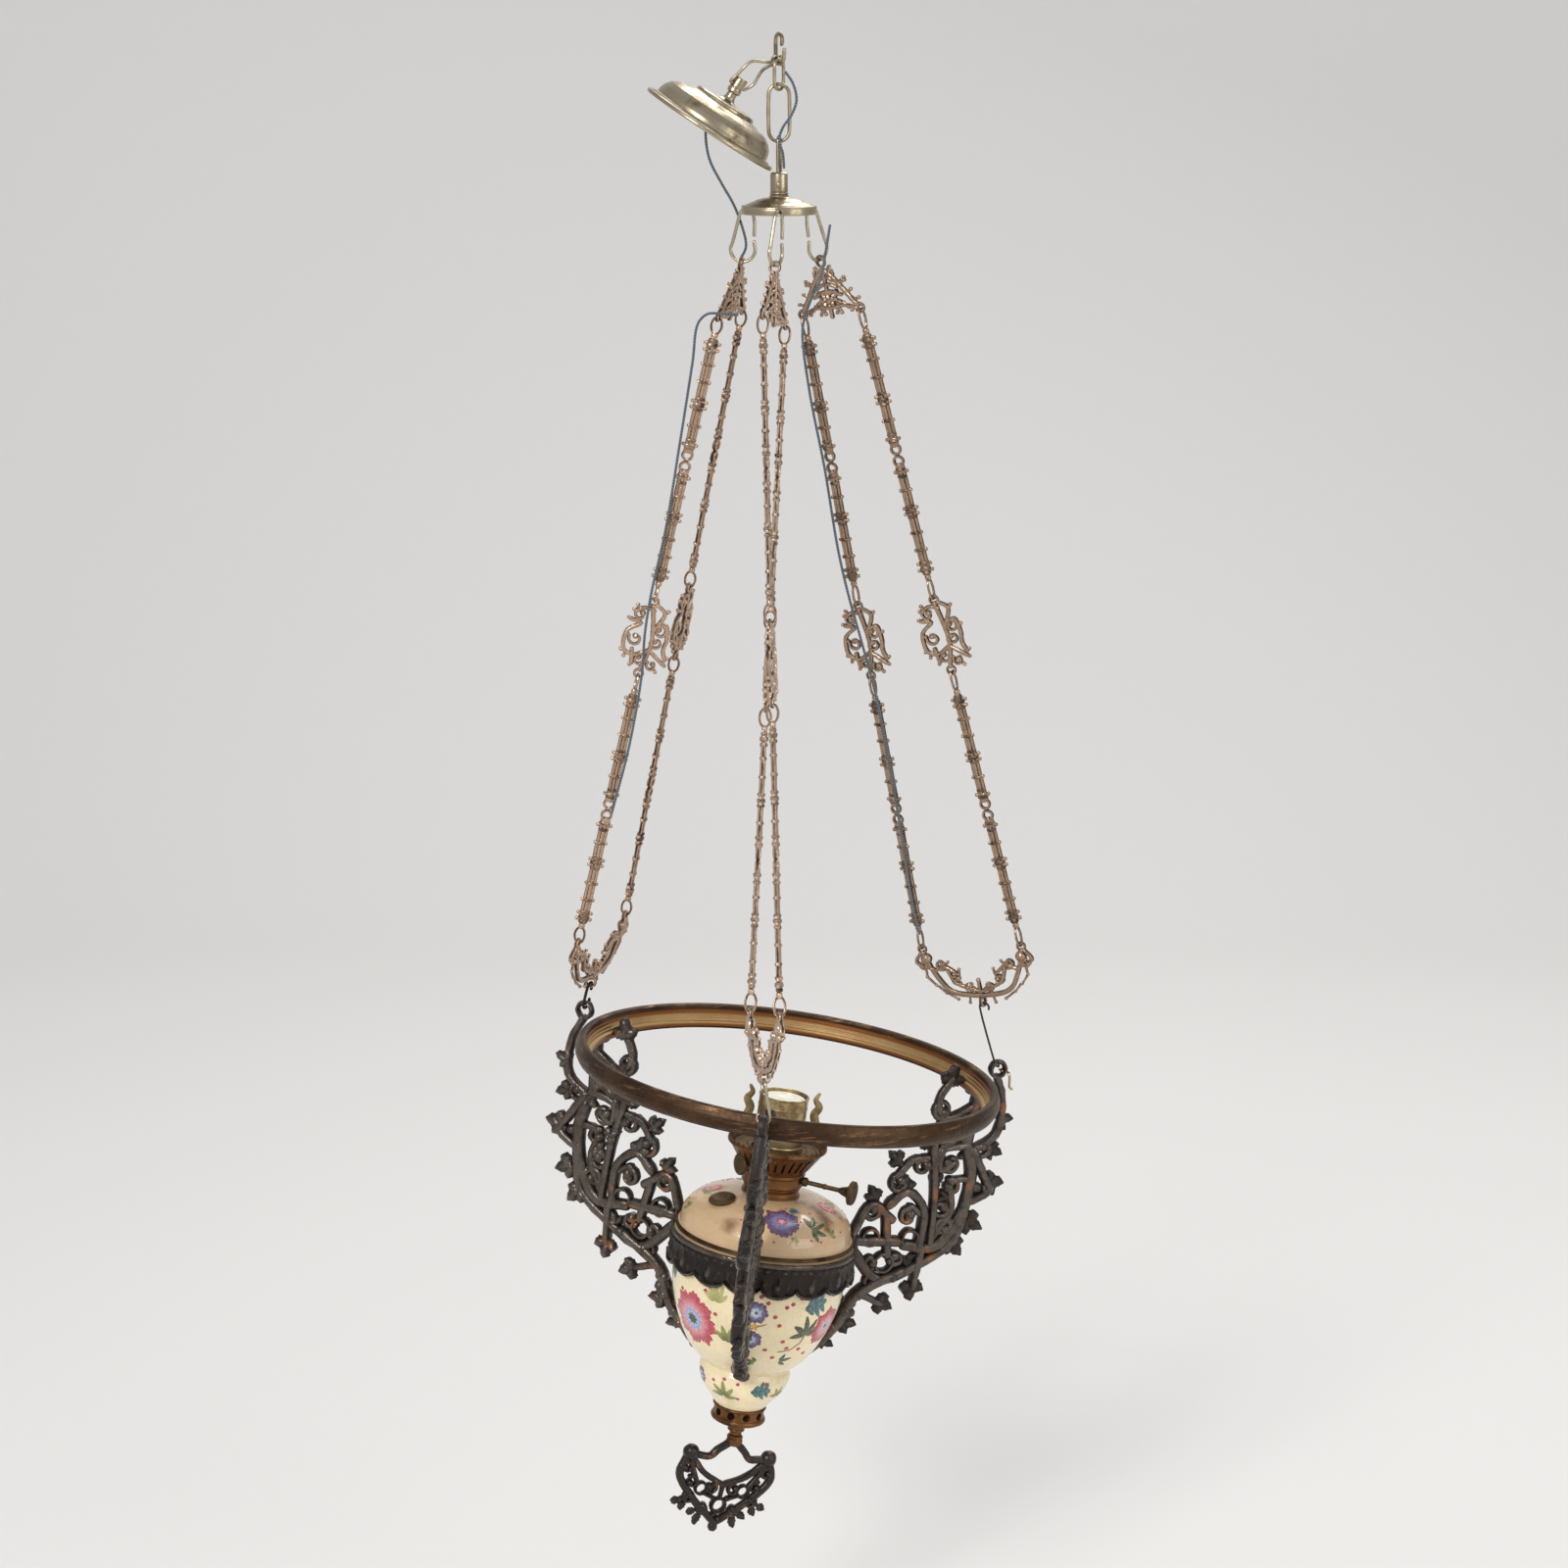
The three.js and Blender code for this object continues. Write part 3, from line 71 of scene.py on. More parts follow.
class LampSizes(bpy.types.PropertyGroup):
    """Sizes of the lamp's wires, castings and vessels."""
    hook_wire: length("Hook wire", 3.2, "Thickness of the ceiling hook's wire")
    upper_wire: length("Upper link wire", 2.8, "Thickness of the short link's wire")
    lower_wire: length("Lower link wire", 3.0, "Thickness of the long link's wire")
    bail_wire: length("Bail wire", 2.6, "Thickness of the bails of the stem and canopy")
    cap_wire: length("Cap hook wire", 2.9, "Thickness of the long ovals under the cap")
    cast_thickness: length("Chain casting", 4.4, "Thickness of the crowns, plates and yokes")
    flute: length("Bar flute", 3.2, "Thickness of each of the three rods of a bar")
    bead: length("Bead", 4.2, "Size of the cast beads on bars and scrolls")
    ring_radius: length("Shade ring radius", 182, "Widest radius of the shade ring")
    petal: length("Painted relief", 0.35, "How far the enamel stands on the glaze")
    flex: length("Flex thickness", 2.2, "Thickness of the cotton covered flex")
    floor_depth: length("Floor below the hook", 1450, "Height of the hook above the floor")


class LampColours(bpy.types.PropertyGroup):
    """Colours of the lamp's finishes."""
    brass: tone("Aged brass", "b4a68c", "Hook, links, canopy and cap")
    tarnish: tone("Brass tarnish", "5c4c36", "Brown patches on the aged brass")
    gold: tone("Bright brass wire", "c2b59c", "Cap hooks and the broken hook")
    cast_front: tone("Front castings", "c6ab94", "Pinkish worn metal of the front chain")
    cast_left: tone("Left castings", "b99c84", "Yellowish worn metal of the left chain")
    cast_right: tone("Right castings", "a58b74", "Darker worn metal of the right chain")
    # The dark colour of the castings: dirt in their hollows and painted shade on their sides.
    cast_dirt_and_shade: tone("Casting dirt", "38291f", "Dirt in the hollows of the castings")
    iron: tone("Arm bronze", "2b2623", "Blackened bronze of the arms and band")
    # Light colour of the dark castings' ridges and raised relief: rubbed metal and painted highlight.
    worn_ridge_highlight: tone("Dark gleam", "5f564d", "Ridges of the dark castings")
    rub: tone("Coppery rub", "8a5c3c", "Bare metal on the high places of dark bronze")
    ring: tone("Shade ring", "3c2a1c", "Brown antique brass of the ring")
    # Light streaks on the ring: rubbed brass and painted highlight.
    ring_rub_and_highlight: tone("Ring streaks", "a8845c", "Light rubbed streaks on the ring")
    glaze: tone("Vase glaze", "f2e0b6", "Cream glaze of the vase")
    dome: tone("Font glaze", "cfae85", "Beige glaze of the font")
    stain: tone("Glaze stain", "8a5a2c", "Oil and age stains in the glaze")
    copper: tone("Copper", "7d5533", "Collars of the burner and the vase")
    burner: tone("Burner brass", "6b543a", "Tarnished burner and its fittings")
    tube: tone("Tube brass", "b5a276", "Pale brass of the lamp tube")
    porcelain: tone("Porcelain", "f2eedd", "Lamp holder insert")
    flex: tone("Flex", "5b6772", "Blue-grey braided cotton")
    wire: tone("Steel wire", "40382f", "Dull steel of the small hooks and rod")
    floor: tone("Floor", "e6e4e0", "Floor and backdrop")


def size(name):
    """A size in millimetres."""
    return getattr(bpy.context.scene.lamp_sizes, name) / MM


def colour(name):
    return tuple(getattr(bpy.context.scene.lamp_colours, name))


# Directions, frames and lines

def around(degrees):
    """A level unit direction."""
    return Vector((math.cos(math.radians(degrees)), math.sin(math.radians(degrees)), 0))


def upright(degrees):
    """A unit direction in the XZ plane, from +X towards +Z."""
    return Vector((math.cos(math.radians(degrees)), 0, math.sin(math.radians(degrees))))


def circle(count):
    """The corners of a regular outline of radius 1."""
    return [(math.cos(a), math.sin(a)) for a in (2 * math.pi * i / count for i in range(count))]


def signed_power(value, exponent):
    return math.copysign(abs(value) ** exponent, value)


def turn(degrees, axis="Z"):
    return Matrix.Rotation(math.radians(degrees), 4, axis)


def move(x, y, z):
    return Matrix.Translation((x, y, z))


def basis(x, y, z, origin):
    return Matrix(((x.x, y.x, z.x, origin.x), (x.y, y.y, z.y, origin.y), (x.z, y.z, z.z, origin.z),
                   (0, 0, 0, 1)))


def hung(origin, width, down):
    """A frame whose X is the width direction and whose -Z runs down the given way."""
    z = -down.normalized()
    x = (width - z * width.dot(z)).normalized()
    return basis(x, z.cross(x), z, origin)


def square_to(way, side):
    return (side - way * side.dot(way)).normalized()


def through(points, steps, closed=False):
    """A smooth line through the given points."""
    given = [Vector(p) if len(p) == 3 else Vector((p[0], 0, p[1])) for p in points]
    count = len(given)

    def at(i):
        if closed:
            return given[i % count]
        if i < 0:
            return given[0] * 2 - given[1]
        if i >= count:
            return given[-1] * 2 - given[-2]
        return given[i]

    line = []
    for i in range(count if closed else count - 1):
        a, b, c, d = (at(i + k) for k in (-1, 0, 1, 2))
        ab, bc, cd = (max(math.sqrt((q - p).length), 1e-3) for p, q in ((a, b), (b, c), (c, d)))
        leave = ((b - a) / ab - (c - a) / (ab + bc) + (c - b) / bc) * bc
        reach = ((c - b) / bc - (d - b) / (bc + cd) + (d - c) / cd) * bc
        for k in range(steps):
            t = k / steps
            line.append(b * (2 * t**3 - 3 * t**2 + 1) + leave * (t**3 - 2 * t**2 + t)
                        + c * (3 * t**2 - 2 * t**3) + reach * (t**3 - t**2))
    if not closed:
        line.append(given[-1])
    return line


def arc(x, z, radius, start, stop, steps):
    """Points on an arc in the XZ plane, degrees from +X towards +Z."""
    return [Vector((x, 0, z)) + upright(start + (stop - start) * i / steps) * radius
            for i in range(steps + 1)]


def running(line):
    """Distances along a line, from 0 to its length."""
    marks = [0.0]
    for before, after in zip(line, line[1:]):
        marks.append(marks[-1] + (after - before).length)
    return marks


class Form:
    """Closed shells gathered into one mesh, in millimetres."""

    def __init__(self):
        self.points, self.faces, self.high, self.paint, self.thread = [], [], [], [], []

    def rings(self, rings, closed=False, high=None, paint=None, thread=None):
        """A skin over rings of points, capped at both ends or closed into a loop."""
        sides, rows, start = len(rings[0]), len(rings), len(self.points)
        for i, ring in enumerate(rings):
            self.points += ring
            self.high += high[i] if high else [0.5] * sides
            self.paint += [paint[i]] * sides if paint else [(1, 1, 1)] * sides
            self.thread += [thread[i]] * sides if thread else [0.0] * sides
        for i in range(rows if closed else rows - 1):
            here, there = start + i * sides, start + (i + 1) % rows * sides
            for j in range(sides):
                k = (j + 1) % sides
                self.faces.append((here + j, here + k, there + k, there + j))
        if not closed:
            end = start + (rows - 1) * sides
            self.faces.append(tuple(start + j for j in reversed(range(sides))))
            self.faces.append(tuple(end + j for j in range(sides)))
        return self

    def put(self, other, matrix=Matrix.Identity(4)):
        """Adds another form, moved by the matrix."""
        start = len(self.points)
        self.points += [matrix @ p for p in other.points]
        self.faces += [tuple(start + i for i in face) for face in other.faces]
        self.high += other.high
        self.paint += other.paint
        self.thread += other.thread
        return self

    def sweep(self, line, section, closed=False, tips=True, normal=None):
        """Sweeps a section of (across, along Y) points down a line; section is called with 0 to 1."""
        count = len(line)
        marks = running(line)
        total = max(marks[-1], 1e-6)
        rings, highs, threads, ends = [], [], [], []
        up = normal
        for i, at in enumerate(line):
            before = line[i - 1] if closed or i else at
            after = line[(i + 1) % count] if closed or i < count - 1 else at
            way = (after - before).normalized()
            if up is None:
                up = Y if abs(way.y) < 0.9 else X
            up = (up - way * up.dot(way)).normalized()
            side = way.cross(up)
            outline = section(marks[i] / total)
            rings.append([at + side * u + up * v for u, v in outline])
            # high runs from 1 on the faces across the section's up side to 0 on its sides; the cast finishes colour
            # it, partly wear and dirt, partly painted highlight and painted shade.
            depth = max(abs(v) for _, v in outline) or 1
            highs.append([min(1, abs(v) / depth) for _, v in outline])
            threads.append(marks[i])
            if i in (0, count - 1):
                ends.append((way * (-1 if i == 0 else 1), side, up, at, outline))
        if tips and not closed:
            for end, (way, side, up_, at, outline) in enumerate(ends):
                reach = min(max(abs(u) for u, _ in outline), max(abs(v) for _, v in outline))
                caps = [[at + way * reach * out + side * u * keep + up_ * v * keep for u, v in outline]
                        for out, keep in ((0.45, 0.86), (0.8, 0.55))]
                caps = caps if end else caps[::-1]
                rings = rings + caps if end else caps + rings
                highs = highs + [highs[-1]] * 2 if end else [highs[0]] * 2 + highs
                threads = threads + [threads[-1]] * 2 if end else [threads[0]] * 2 + threads
        return self.rings(rings, closed, highs, None, threads)

    def wire(self, points, thickness, steps, sides, closed=False):
        """A round wire through the points."""
        ring = [(u * thickness / 2, v * thickness / 2) for u, v in circle(sides)]
        return self.sweep(through(points, steps, closed), lambda t: ring, closed)

    def stroke(self, points, widths, thickness, steps=5, tips=True, stout=1):
        """A flat cast stroke in the XZ plane, with rounded edges, tapering along its length."""
        start, stop = (w * stout for w in (widths if isinstance(widths, tuple) else (widths, widths)))
        outline = [(signed_power(u, 0.75), signed_power(v, 0.75)) for u, v in circle(10)]

        def section(t):
            half = (start + (stop - start) * t) / 2
            return [(u * half, v * thickness / 2) for u, v in outline]

        return self.sweep(through(points, steps), section, tips=tips, normal=Y)

    def both(self, points, widths, thickness):
        """A stroke and its mirror image."""
        self.stroke(points, widths, thickness)
        self.stroke([(-x, z) for x, z in points], widths, thickness)

    def ball(self, x, y, z, radius, squash=1.0, sides=10):
        rows = max(4, sides // 2)
        rings = []
        for i in range(1, rows):
            a = math.pi * i / rows
            rings.append([Vector((x + math.sin(a) * u * radius, y + math.sin(a) * v * radius * squash,
                                  z - math.cos(a) * radius)) for u, v in circle(sides)])
        return self.rings(rings, high=[[0.9] * sides] * len(rings))

    def eye(self, x, z, hole, width, thickness, sides=20):
        """A cast eye, its hole along Y."""
        middle, half = hole + width / 2, width / 2
        rings = [[Vector((x, 0, z)) + Vector((c, 0, s)) * (middle + half * signed_power(u, 0.8))
                  + Y * (v * thickness / 2) for u, v in circle(10)] for c, s in circle(sides)]
        return self.rings(rings, True, [[abs(v) for _, v in circle(10)]] * sides)

    def nearest(self, x, z):
        """The place of the casting nearest to a point of its plane."""
        near = min(self.points, key=lambda p: (p.x - x) ** 2 + (p.z - z) ** 2)
        return Vector((near.x, 0, near.z))

    def curl(self, x, z, radius, start, sweep, width, thickness):
        """A scroll that winds in from the casting to a bead."""
        points = []
        for i in range(9):
            t = i / 8
            a = math.radians(start + sweep * t)
            r = radius * (1 - 0.62 * t)
            points.append((x + math.cos(a) * r, z + math.sin(a) * r))
        if self.points:
            root = self.nearest(*points[0])
            if math.hypot(root.x - points[0][0], root.z - points[0][1]) > 0.5:
                points.insert(0, (root.x, root.z))
        self.stroke(points, (width, width * 0.75), thickness, steps=2)
        return self.ball(points[-1][0], 0, points[-1][1], width * 1.25 * 0.7, thickness / width)

    def mirrored(self):
        self.points = [Vector((-p.x, p.y, p.z)) for p in self.points]
        return self

    def curls(self, rows, side, width, thickness):
        """Scrolls laid on the casting, mirrored where side is -1."""
        for row in rows:
            part = Form().curl(*row, width, thickness)
            self.put(part.mirrored() if side < 0 else part)

    def leaf(self, x, z, angle, long, wide, thickness):
        """A lobed cast leaf with a raised rib, growing from its root at the angle."""
        tip = Vector((x, 0, z)) + upright(angle) * long
        root = self.nearest(x, z)
        way, long = (tip - root).normalized(), (tip - root).length
        side = Vector((-way.z, 0, way.x))
        outline = ((-1, 0.1), (-0.55, 0.75), (0, 1), (0.55, 0.75), (1, 0.1), (0.5, -0.55), (0, -0.7),
                   (-0.5, -0.55))
        rings = []
        for i in range(11):
            t = i / 10
            lobes = 0.8 + 0.28 * abs(math.sin(t * math.pi * 3))
            half = max(0.35, wide / 2 * math.sin(math.pi * (t * 0.84 + 0.12)) ** 0.55 * lobes)
            arch = math.sin(math.pi * t) * thickness * 0.12
            rings.append([root + way * (long * t) + side * (u * half) + Y * (v * thickness / 2 + arch)
                          for u, v in outline])
        return self.rings(rings, high=[[abs(v) for _, v in outline]] * len(rings))

    def trefoil(self, x, z, angle, long, thickness):
        """Three lobes from one root."""
        for spread, share in ((0, 0.95), (-62, 0.72), (62, 0.72)):
            self.leaf(x, z, angle + spread, long * share, long * 0.78, thickness)

    def lathe(self, outline, segments, soft, high=None):
        """A turned piece from a closed outline of (radius, z), its corners eased by soft."""
        eased = []
        count = len(outline)
        for i, (r, z) in enumerate(outline):
            here = Vector((r, z))
            before, after = Vector(outline[i - 1]), Vector(outline[(i + 1) % count])
            if r < 1e-6:
                eased.append(here)
                continue
            easing = min(soft, (before - here).length * 0.4, (after - here).length * 0.4)
            a = here + (before - here).normalized() * easing
            b = here + (after - here).normalized() * easing
            eased += [a, here * 0.5 + (a + b) * 0.25, b] if easing > 0.05 else [here]
        on_axis = [p for p in eased if p.x < 1e-6]
        if on_axis:
            first = eased.index(on_axis[0])
            eased = eased[first:] + eased[:first]
            if eased[-1].x < 1e-6:
                eased = eased[-1:] + eased[:-1]
            eased = [Vector((max(p.x, 0.02), p.y)) for p in eased]
        rings = [[Vector((u * p.x, v * p.x, p.y)) for u, v in circle(segments)] for p in eased]
        levels = [[high(p.x, p.y)] * segments for p in eased] if high else None
        return self.rings(rings, not on_axis, levels)

    def roughen(self, amount, grain):
        """Uneven cast skin; the seed keeps it the same in each run."""
        noise.seed_set(7)
        self.points = [p + noise.noise_vector(p / grain) * amount for p in self.points]
        return self

    def piece(self, name, matrix, body, slot, look, *nodes, sharp=38, cutters=()):
        """Makes the mesh, dresses it and hangs it on its body in place of the CAD nodes."""
        made = solid(name, self, matrix)
        for label, kind, field, values in (
                ("high", "FLOAT", "value", self.high), ("thread", "FLOAT", "value", self.thread),
                ("paint", "FLOAT_COLOR", "color", [c for p in self.paint for c in (*p, 1)])):
            made.data.attributes.new(label, kind, "POINT").data.foreach_set(field, values)
        for cutter in cutters:
            drill(made, solid("tool", cutter, matrix))
        made.data.polygons.foreach_set("use_smooth", [True] * len(made.data.polygons))
        made.data.set_sharp_from_angle(angle=math.radians(sharp))
        made.data.materials.clear()
        made.data.materials.append(finish(look))
        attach(made, body)
        if nodes:
            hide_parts(*nodes)
        return made


def solid(name, form, matrix):
    """An object with the form's shells, their faces turned outwards."""
    mesh = bpy.data.meshes.new(name)
    mesh.from_pydata([(matrix @ p) * MM for p in form.points], [], form.faces)
    shell = bmesh.new()
    shell.from_mesh(mesh)
    bmesh.ops.recalc_face_normals(shell, faces=shell.faces)
    shell.to_mesh(mesh)
    shell.free()
    made = bpy.data.objects.new(name, mesh)
    bpy.context.collection.objects.link(made)
    return made


def drill(made, tool):
    """Takes the tool out of a made piece."""
    taking = made.modifiers.new("drill", "BOOLEAN")
    taking.operation = "DIFFERENCE"
    taking.solver = "EXACT"
    taking.object = tool
    view = bpy.context.evaluated_depsgraph_get()
    made.data = bpy.data.meshes.new_from_object(made.evaluated_get(view))
    made.modifiers.clear()
    bpy.data.objects.remove(tool)


def peg(radius, start, stop, matrix, sides=24):
    """A round tool along X, from start to stop, moved by the matrix."""
    return Form().rings([[matrix @ Vector((x, u * radius, v * radius)) for u, v in circle(sides)]
                         for x in (start, stop)])


def teeth(form, outline, count, sides, place, before=Matrix.Identity(4)):
    """Small turned teeth, set at the place and repeated round the form's axis."""
    for i in range(count):
        form.put(Form().lathe(outline, sides, 0.1), before @ turn(360 * i / count) @ place)


# Finishes

class Value:
    """A shader socket; arithmetic on it adds Math nodes."""

    def __init__(self, surface, socket):
        self.surface, self.socket = surface, socket

    def _maths(self, operation, *operands):
        return self.surface.add("ShaderNodeMath", {"operation": operation}, dict(enumerate(operands)))

    def __add__(self, other):
        return self._maths("ADD", self, other)

    def __mul__(self, other):
        return self._maths("MULTIPLY", self, other)

    def __sub__(self, other):
        return self._maths("SUBTRACT", self, other)

    def __rsub__(self, other):
        return self._maths("SUBTRACT", other, self)

    def high(self, other):
        return self._maths("MAXIMUM", self, other)

    def wave(self):
        return self._maths("SINE", self)

    __radd__, __rmul__ = __add__, __mul__


class Surface:
    """A finish; constants go on the shader's own sockets, patterns through nodes."""

    def __init__(self, name, **constants):
        self.material = bpy.data.materials.new(name)
        self.material.use_nodes = True
        self.tree = self.material.node_tree
        self.shader = self.tree.nodes["Principled BSDF"]
        for socket, value in constants.items():
            self.shader.inputs[socket.replace("_", " ")].default_value = value
        self.place = self.add("ShaderNodeTexCoord", output="Object")

    def add(self, kind, settings=None, inputs=None, output=0):
        node = self.tree.nodes.new(kind)
        for key, value in (settings or {}).items():
            setattr(node, key, value)
        for key, value in (inputs or {}).items():
            self.feed(node.inputs[key], value)
        return Value(self, node.outputs[output])

    def feed(self, socket, value):
        if isinstance(value, Value):
            self.tree.links.new(value.socket, socket)
        elif socket.type == "RGBA":
            socket.default_value = (*value[:3], 1)
        else:
            socket.default_value = value

    def set(self, **sockets):
        for socket, value in sockets.items():
            self.feed(self.shader.inputs[socket.replace("_", " ")], value)
        return self.material

    def stretched(self, x, y, z):
        return self.add("ShaderNodeVectorMath", {"operation": "MULTIPLY"}, {0: self.place, 1: (x, y, z)})

    def cloud(self, scale, detail=3, rough=0.55, where=None):
        return self.add("ShaderNodeTexNoise", None, {"Vector": where or self.place, "Scale": scale,
                                                     "Detail": detail, "Roughness": rough}, "Fac")

    def cells(self, scale, feature="F1"):
        return self.add("ShaderNodeTexVoronoi", {"feature": feature},
                        {"Vector": self.place, "Scale": scale}, "Distance")

    def ramp(self, value, low, high):
        if low > high:
            return self.ramp(value, high, low) * -1 + 1
        return self.add("ShaderNodeMapRange", {"interpolation_type": "SMOOTHSTEP"},
                        {"Value": value, "From Min": low, "From Max": high})

    def mix(self, factor, first, second):
        return self.add("ShaderNodeMix", {"data_type": "RGBA"}, {0: factor, 6: first, 7: second}, 2)

    def tag(self, name, output="Fac"):
        return self.add("ShaderNodeAttribute", {"attribute_name": name}, None, output)

    def bump(self, height, distance):
        return self.add("ShaderNodeBump", None, {"Height": height, "Distance": distance})


def shade(tones, amount):
    """A darker or lighter version of a colour."""
    return tuple(min(1, t * amount) for t in tones)


finishes = {}


def finish(name):
    """The named finish, made once."""
    if name not in finishes:
        finishes[name] = FINISH_MAKERS[name](name)
    return finishes[name]


def brushed(light, dark, patches, rough=(0.24, 0.5), grain=(1, 1, 1), metal=1.0, spots=0.4):
    """Turned or drawn brass: fine scratches, cloudy tarnish and dark spots."""
    def make(name):
        s = Surface(name, Metallic=metal)
        cloud = s.ramp(s.cloud(55, 5, 0.6), *patches)
        fine = s.cloud(420, 3, 0.6, s.stretched(*grain))
        spot = s.ramp(s.cells(240), 0.12, 0.05) * s.ramp(s.cloud(90), 0.5, 0.62)
        base = s.mix(fine * 0.55, colour(light), shade(colour(light), 0.62))
        base = s.mix((cloud * 0.85).high(spot * spots), base, colour(dark))
        return s.set(Base_Color=base, Roughness=cloud * (rough[1] - rough[0]) + fine * 0.12 + rough[0],
                     Normal=s.bump(fine * 0.5 + cloud * 0.5, 0.00012))
    return make


def cast(light, dark, metal, rough, worn_and_lit_from, rub=None, patch=None, grain=170):
    """Sand-cast metal: lighter on its high places, partly rubbed wear and partly painted highlight; darker on the
    sides and in the hollows, partly dirt and partly painted shade; rough skinned.
    """
    def make(name):
        s = Surface(name, Metallic=metal)
        high = s.tag("high")
        skin = s.cloud(grain, 6, 0.65)
        broad = s.ramp(s.cloud(38, 3, 0.5), 0.38, 0.66)
        pits = s.ramp(s.cells(grain * 2.6), 0.34, 0.1)
        # Lighter where the casting is high, partly wear and partly painted highlight; darker on its sides and in
        # hollows, partly dirt and partly painted shade.
        worn_and_lit = s.ramp(high * 0.55 + skin * 0.75, worn_and_lit_from, worn_and_lit_from + 0.3)
        base = s.mix(worn_and_lit, colour(dark), colour(light))
        base = s.mix(broad * 0.45, base, shade(colour(patch or light), 0.72 if patch is None else 1.0))
        if rub:
            base = s.mix(s.ramp(high * 0.25 + s.cloud(42, 4, 0.6), 0.8, 0.95) * 0.85, base, colour(rub))
        base = s.mix(pits * 0.5, base, shade(colour(dark), 0.5))
        return s.set(Base_Color=base, Roughness=rough[1] - worn_and_lit * (rough[1] - rough[0]),
                     Normal=s.bump(skin - pits * 0.35, 0.0005))
    return make


def ring_brass(name):
    """Antique brass outside with light streaks, partly rubbed brass and partly painted highlight; brighter on the
    inner side of the ring.
    """
    s = Surface(name, Metallic=0.85)
    broad = s.ramp(s.cloud(16, 4, 0.6), 0.4, 0.68)
    # Streaks round the ring in the light colour: rubbed brass and painted highlight.
    streak = s.ramp(s.cloud(30, 5, 0.7, s.stretched(0.9, 0.9, 9)), 0.52, 0.7)
    skin = s.cloud(300, 4, 0.6)
    inner = s.tag("high")
    base = s.mix(streak * 0.55 + broad * 0.12, colour("ring"), colour("ring_rub_and_highlight"))
    base = s.mix(s.ramp(skin, 0.45, 0.75) * 0.5, base, shade(colour("ring"), 0.5))
    base = s.mix(s.ramp(inner, 0.1, 0.45), base, linear("85522a"))
    bright = s.ramp(inner, 0.55, 0.95) * (0.75 - s.ramp(s.cloud(22, 4), 0.35, 0.7) * 0.3)
    base = s.mix(bright, base, linear("c4a877"))
    return s.set(Base_Color=base, Roughness=0.32 + skin * 0.3, Normal=s.bump(skin, 0.0002))


def glaze(tones, beige):
    """Tin glaze on earthenware: fine crackle, pinholes, brown stains and pooled colour."""
    def make(name):
        s = Surface(name, Coat_Weight=0.5, Coat_Roughness=0.06, IOR=1.5)
        cloud = s.cloud(22, 4, 0.55)
        base = s.mix(s.ramp(cloud, 0.35, 0.7) * 0.55, colour(tones), shade(colour(tones), 0.8))
        stain = s.ramp(s.cloud(34, 6, 0.7), 0.6, 0.78) * (0.75 if beige else 0.35)
        base = s.mix(stain, base, colour("stain"))
        if beige:
            for r, azimuth, reach in ((32, -30, 9), (41, -28, 10), (50, -30, 11), (58, -34, 11), (66, -40, 8),
                                      (58, -10, 12), (46, 176, 12), (62, 168, 12), (68, -118, 10)):
                spot = BASKET @ ((around(azimuth) * r + Z * dome_at(r)) * MM)
                away = s.add("ShaderNodeVectorMath", {"operation": "DISTANCE"}, {0: s.place, 1: spot},
                             "Value")
                brown = s.ramp(away + s.cloud(90, 4) * 0.014, reach * MM + 0.009, 0.007)
                base = s.mix(brown * 0.8, base, shade(colour("stain"), 0.62))
        crack = s.ramp(s.cells(140, "DISTANCE_TO_EDGE"), 0.035, 0.0)
        base = s.mix(crack * 0.16, base, colour("stain"))
        holes = s.ramp(s.cells(420), 0.12, 0.04) * s.ramp(cloud, 0.45, 0.6)
        base = s.mix(holes * 0.5, base, shade(colour("stain"), 0.5))
        return s.set(Base_Color=base, Roughness=0.14 + cloud * 0.14,
                     Normal=s.bump(cloud * 0.4 - crack * 0.2 - holes, 0.0002))
    return make


def enamel(name):
    s = Surface(name, Coat_Weight=0.4, IOR=1.5)
    brush = s.cloud(900, 2, 0.5, s.stretched(1, 1, 0.5))
    base = s.mix(s.ramp(brush, 0.45, 0.75) * 0.22, s.tag("paint", "Color"), colour("glaze"))
    return s.set(Base_Color=base, Roughness=0.22 + brush * 0.15, Normal=s.bump(brush, 0.0001))


def braid(name):
    """Cotton plait: two sets of threads wound round the flex, crossing."""
    s = Surface(name, Sheen_Weight=0.35)
    along = s.tag("thread") * 2.6
    turned = s.tag("high") * 6.2832
    weave = (along + turned * 2).wave().high((along - turned * 2).wave())
    fuzz = s.cloud(2600, 2)
    dirt = s.ramp(s.cloud(60, 4), 0.45, 0.7)
    # Darker in the grooves between threads and lighter on their crests: painted shade and painted highlight.
    base = s.mix(s.ramp(weave, 0.1, 0.9), shade(colour("flex"), 0.35), shade(colour("flex"), 1.25))
    base = s.mix(dirt * 0.5, base, linear("4a4238"))
    return s.set(Base_Color=base, Roughness=0.75 + fuzz * 0.2, Normal=s.bump(weave * 0.8 + fuzz * 0.3, 0.0003))


def white_ware(name):
    s = Surface(name, Coat_Weight=0.3, IOR=1.5)
    cloud = s.cloud(120, 4)
    return s.set(Base_Color=s.mix(s.ramp(cloud, 0.55, 0.8) * 0.22, colour("porcelain"), linear("c9b98e")),
                 Roughness=0.25 + cloud * 0.2, Normal=s.bump(cloud, 0.0001))


def backdrop(name):
    s = Surface(name)
    fibre = s.cloud(90, 3)
    return s.set(Base_Color=s.mix(fibre * 0.06, colour("floor"), shade(colour("floor"), 0.9)),
                 Roughness=0.85 + fibre * 0.1)


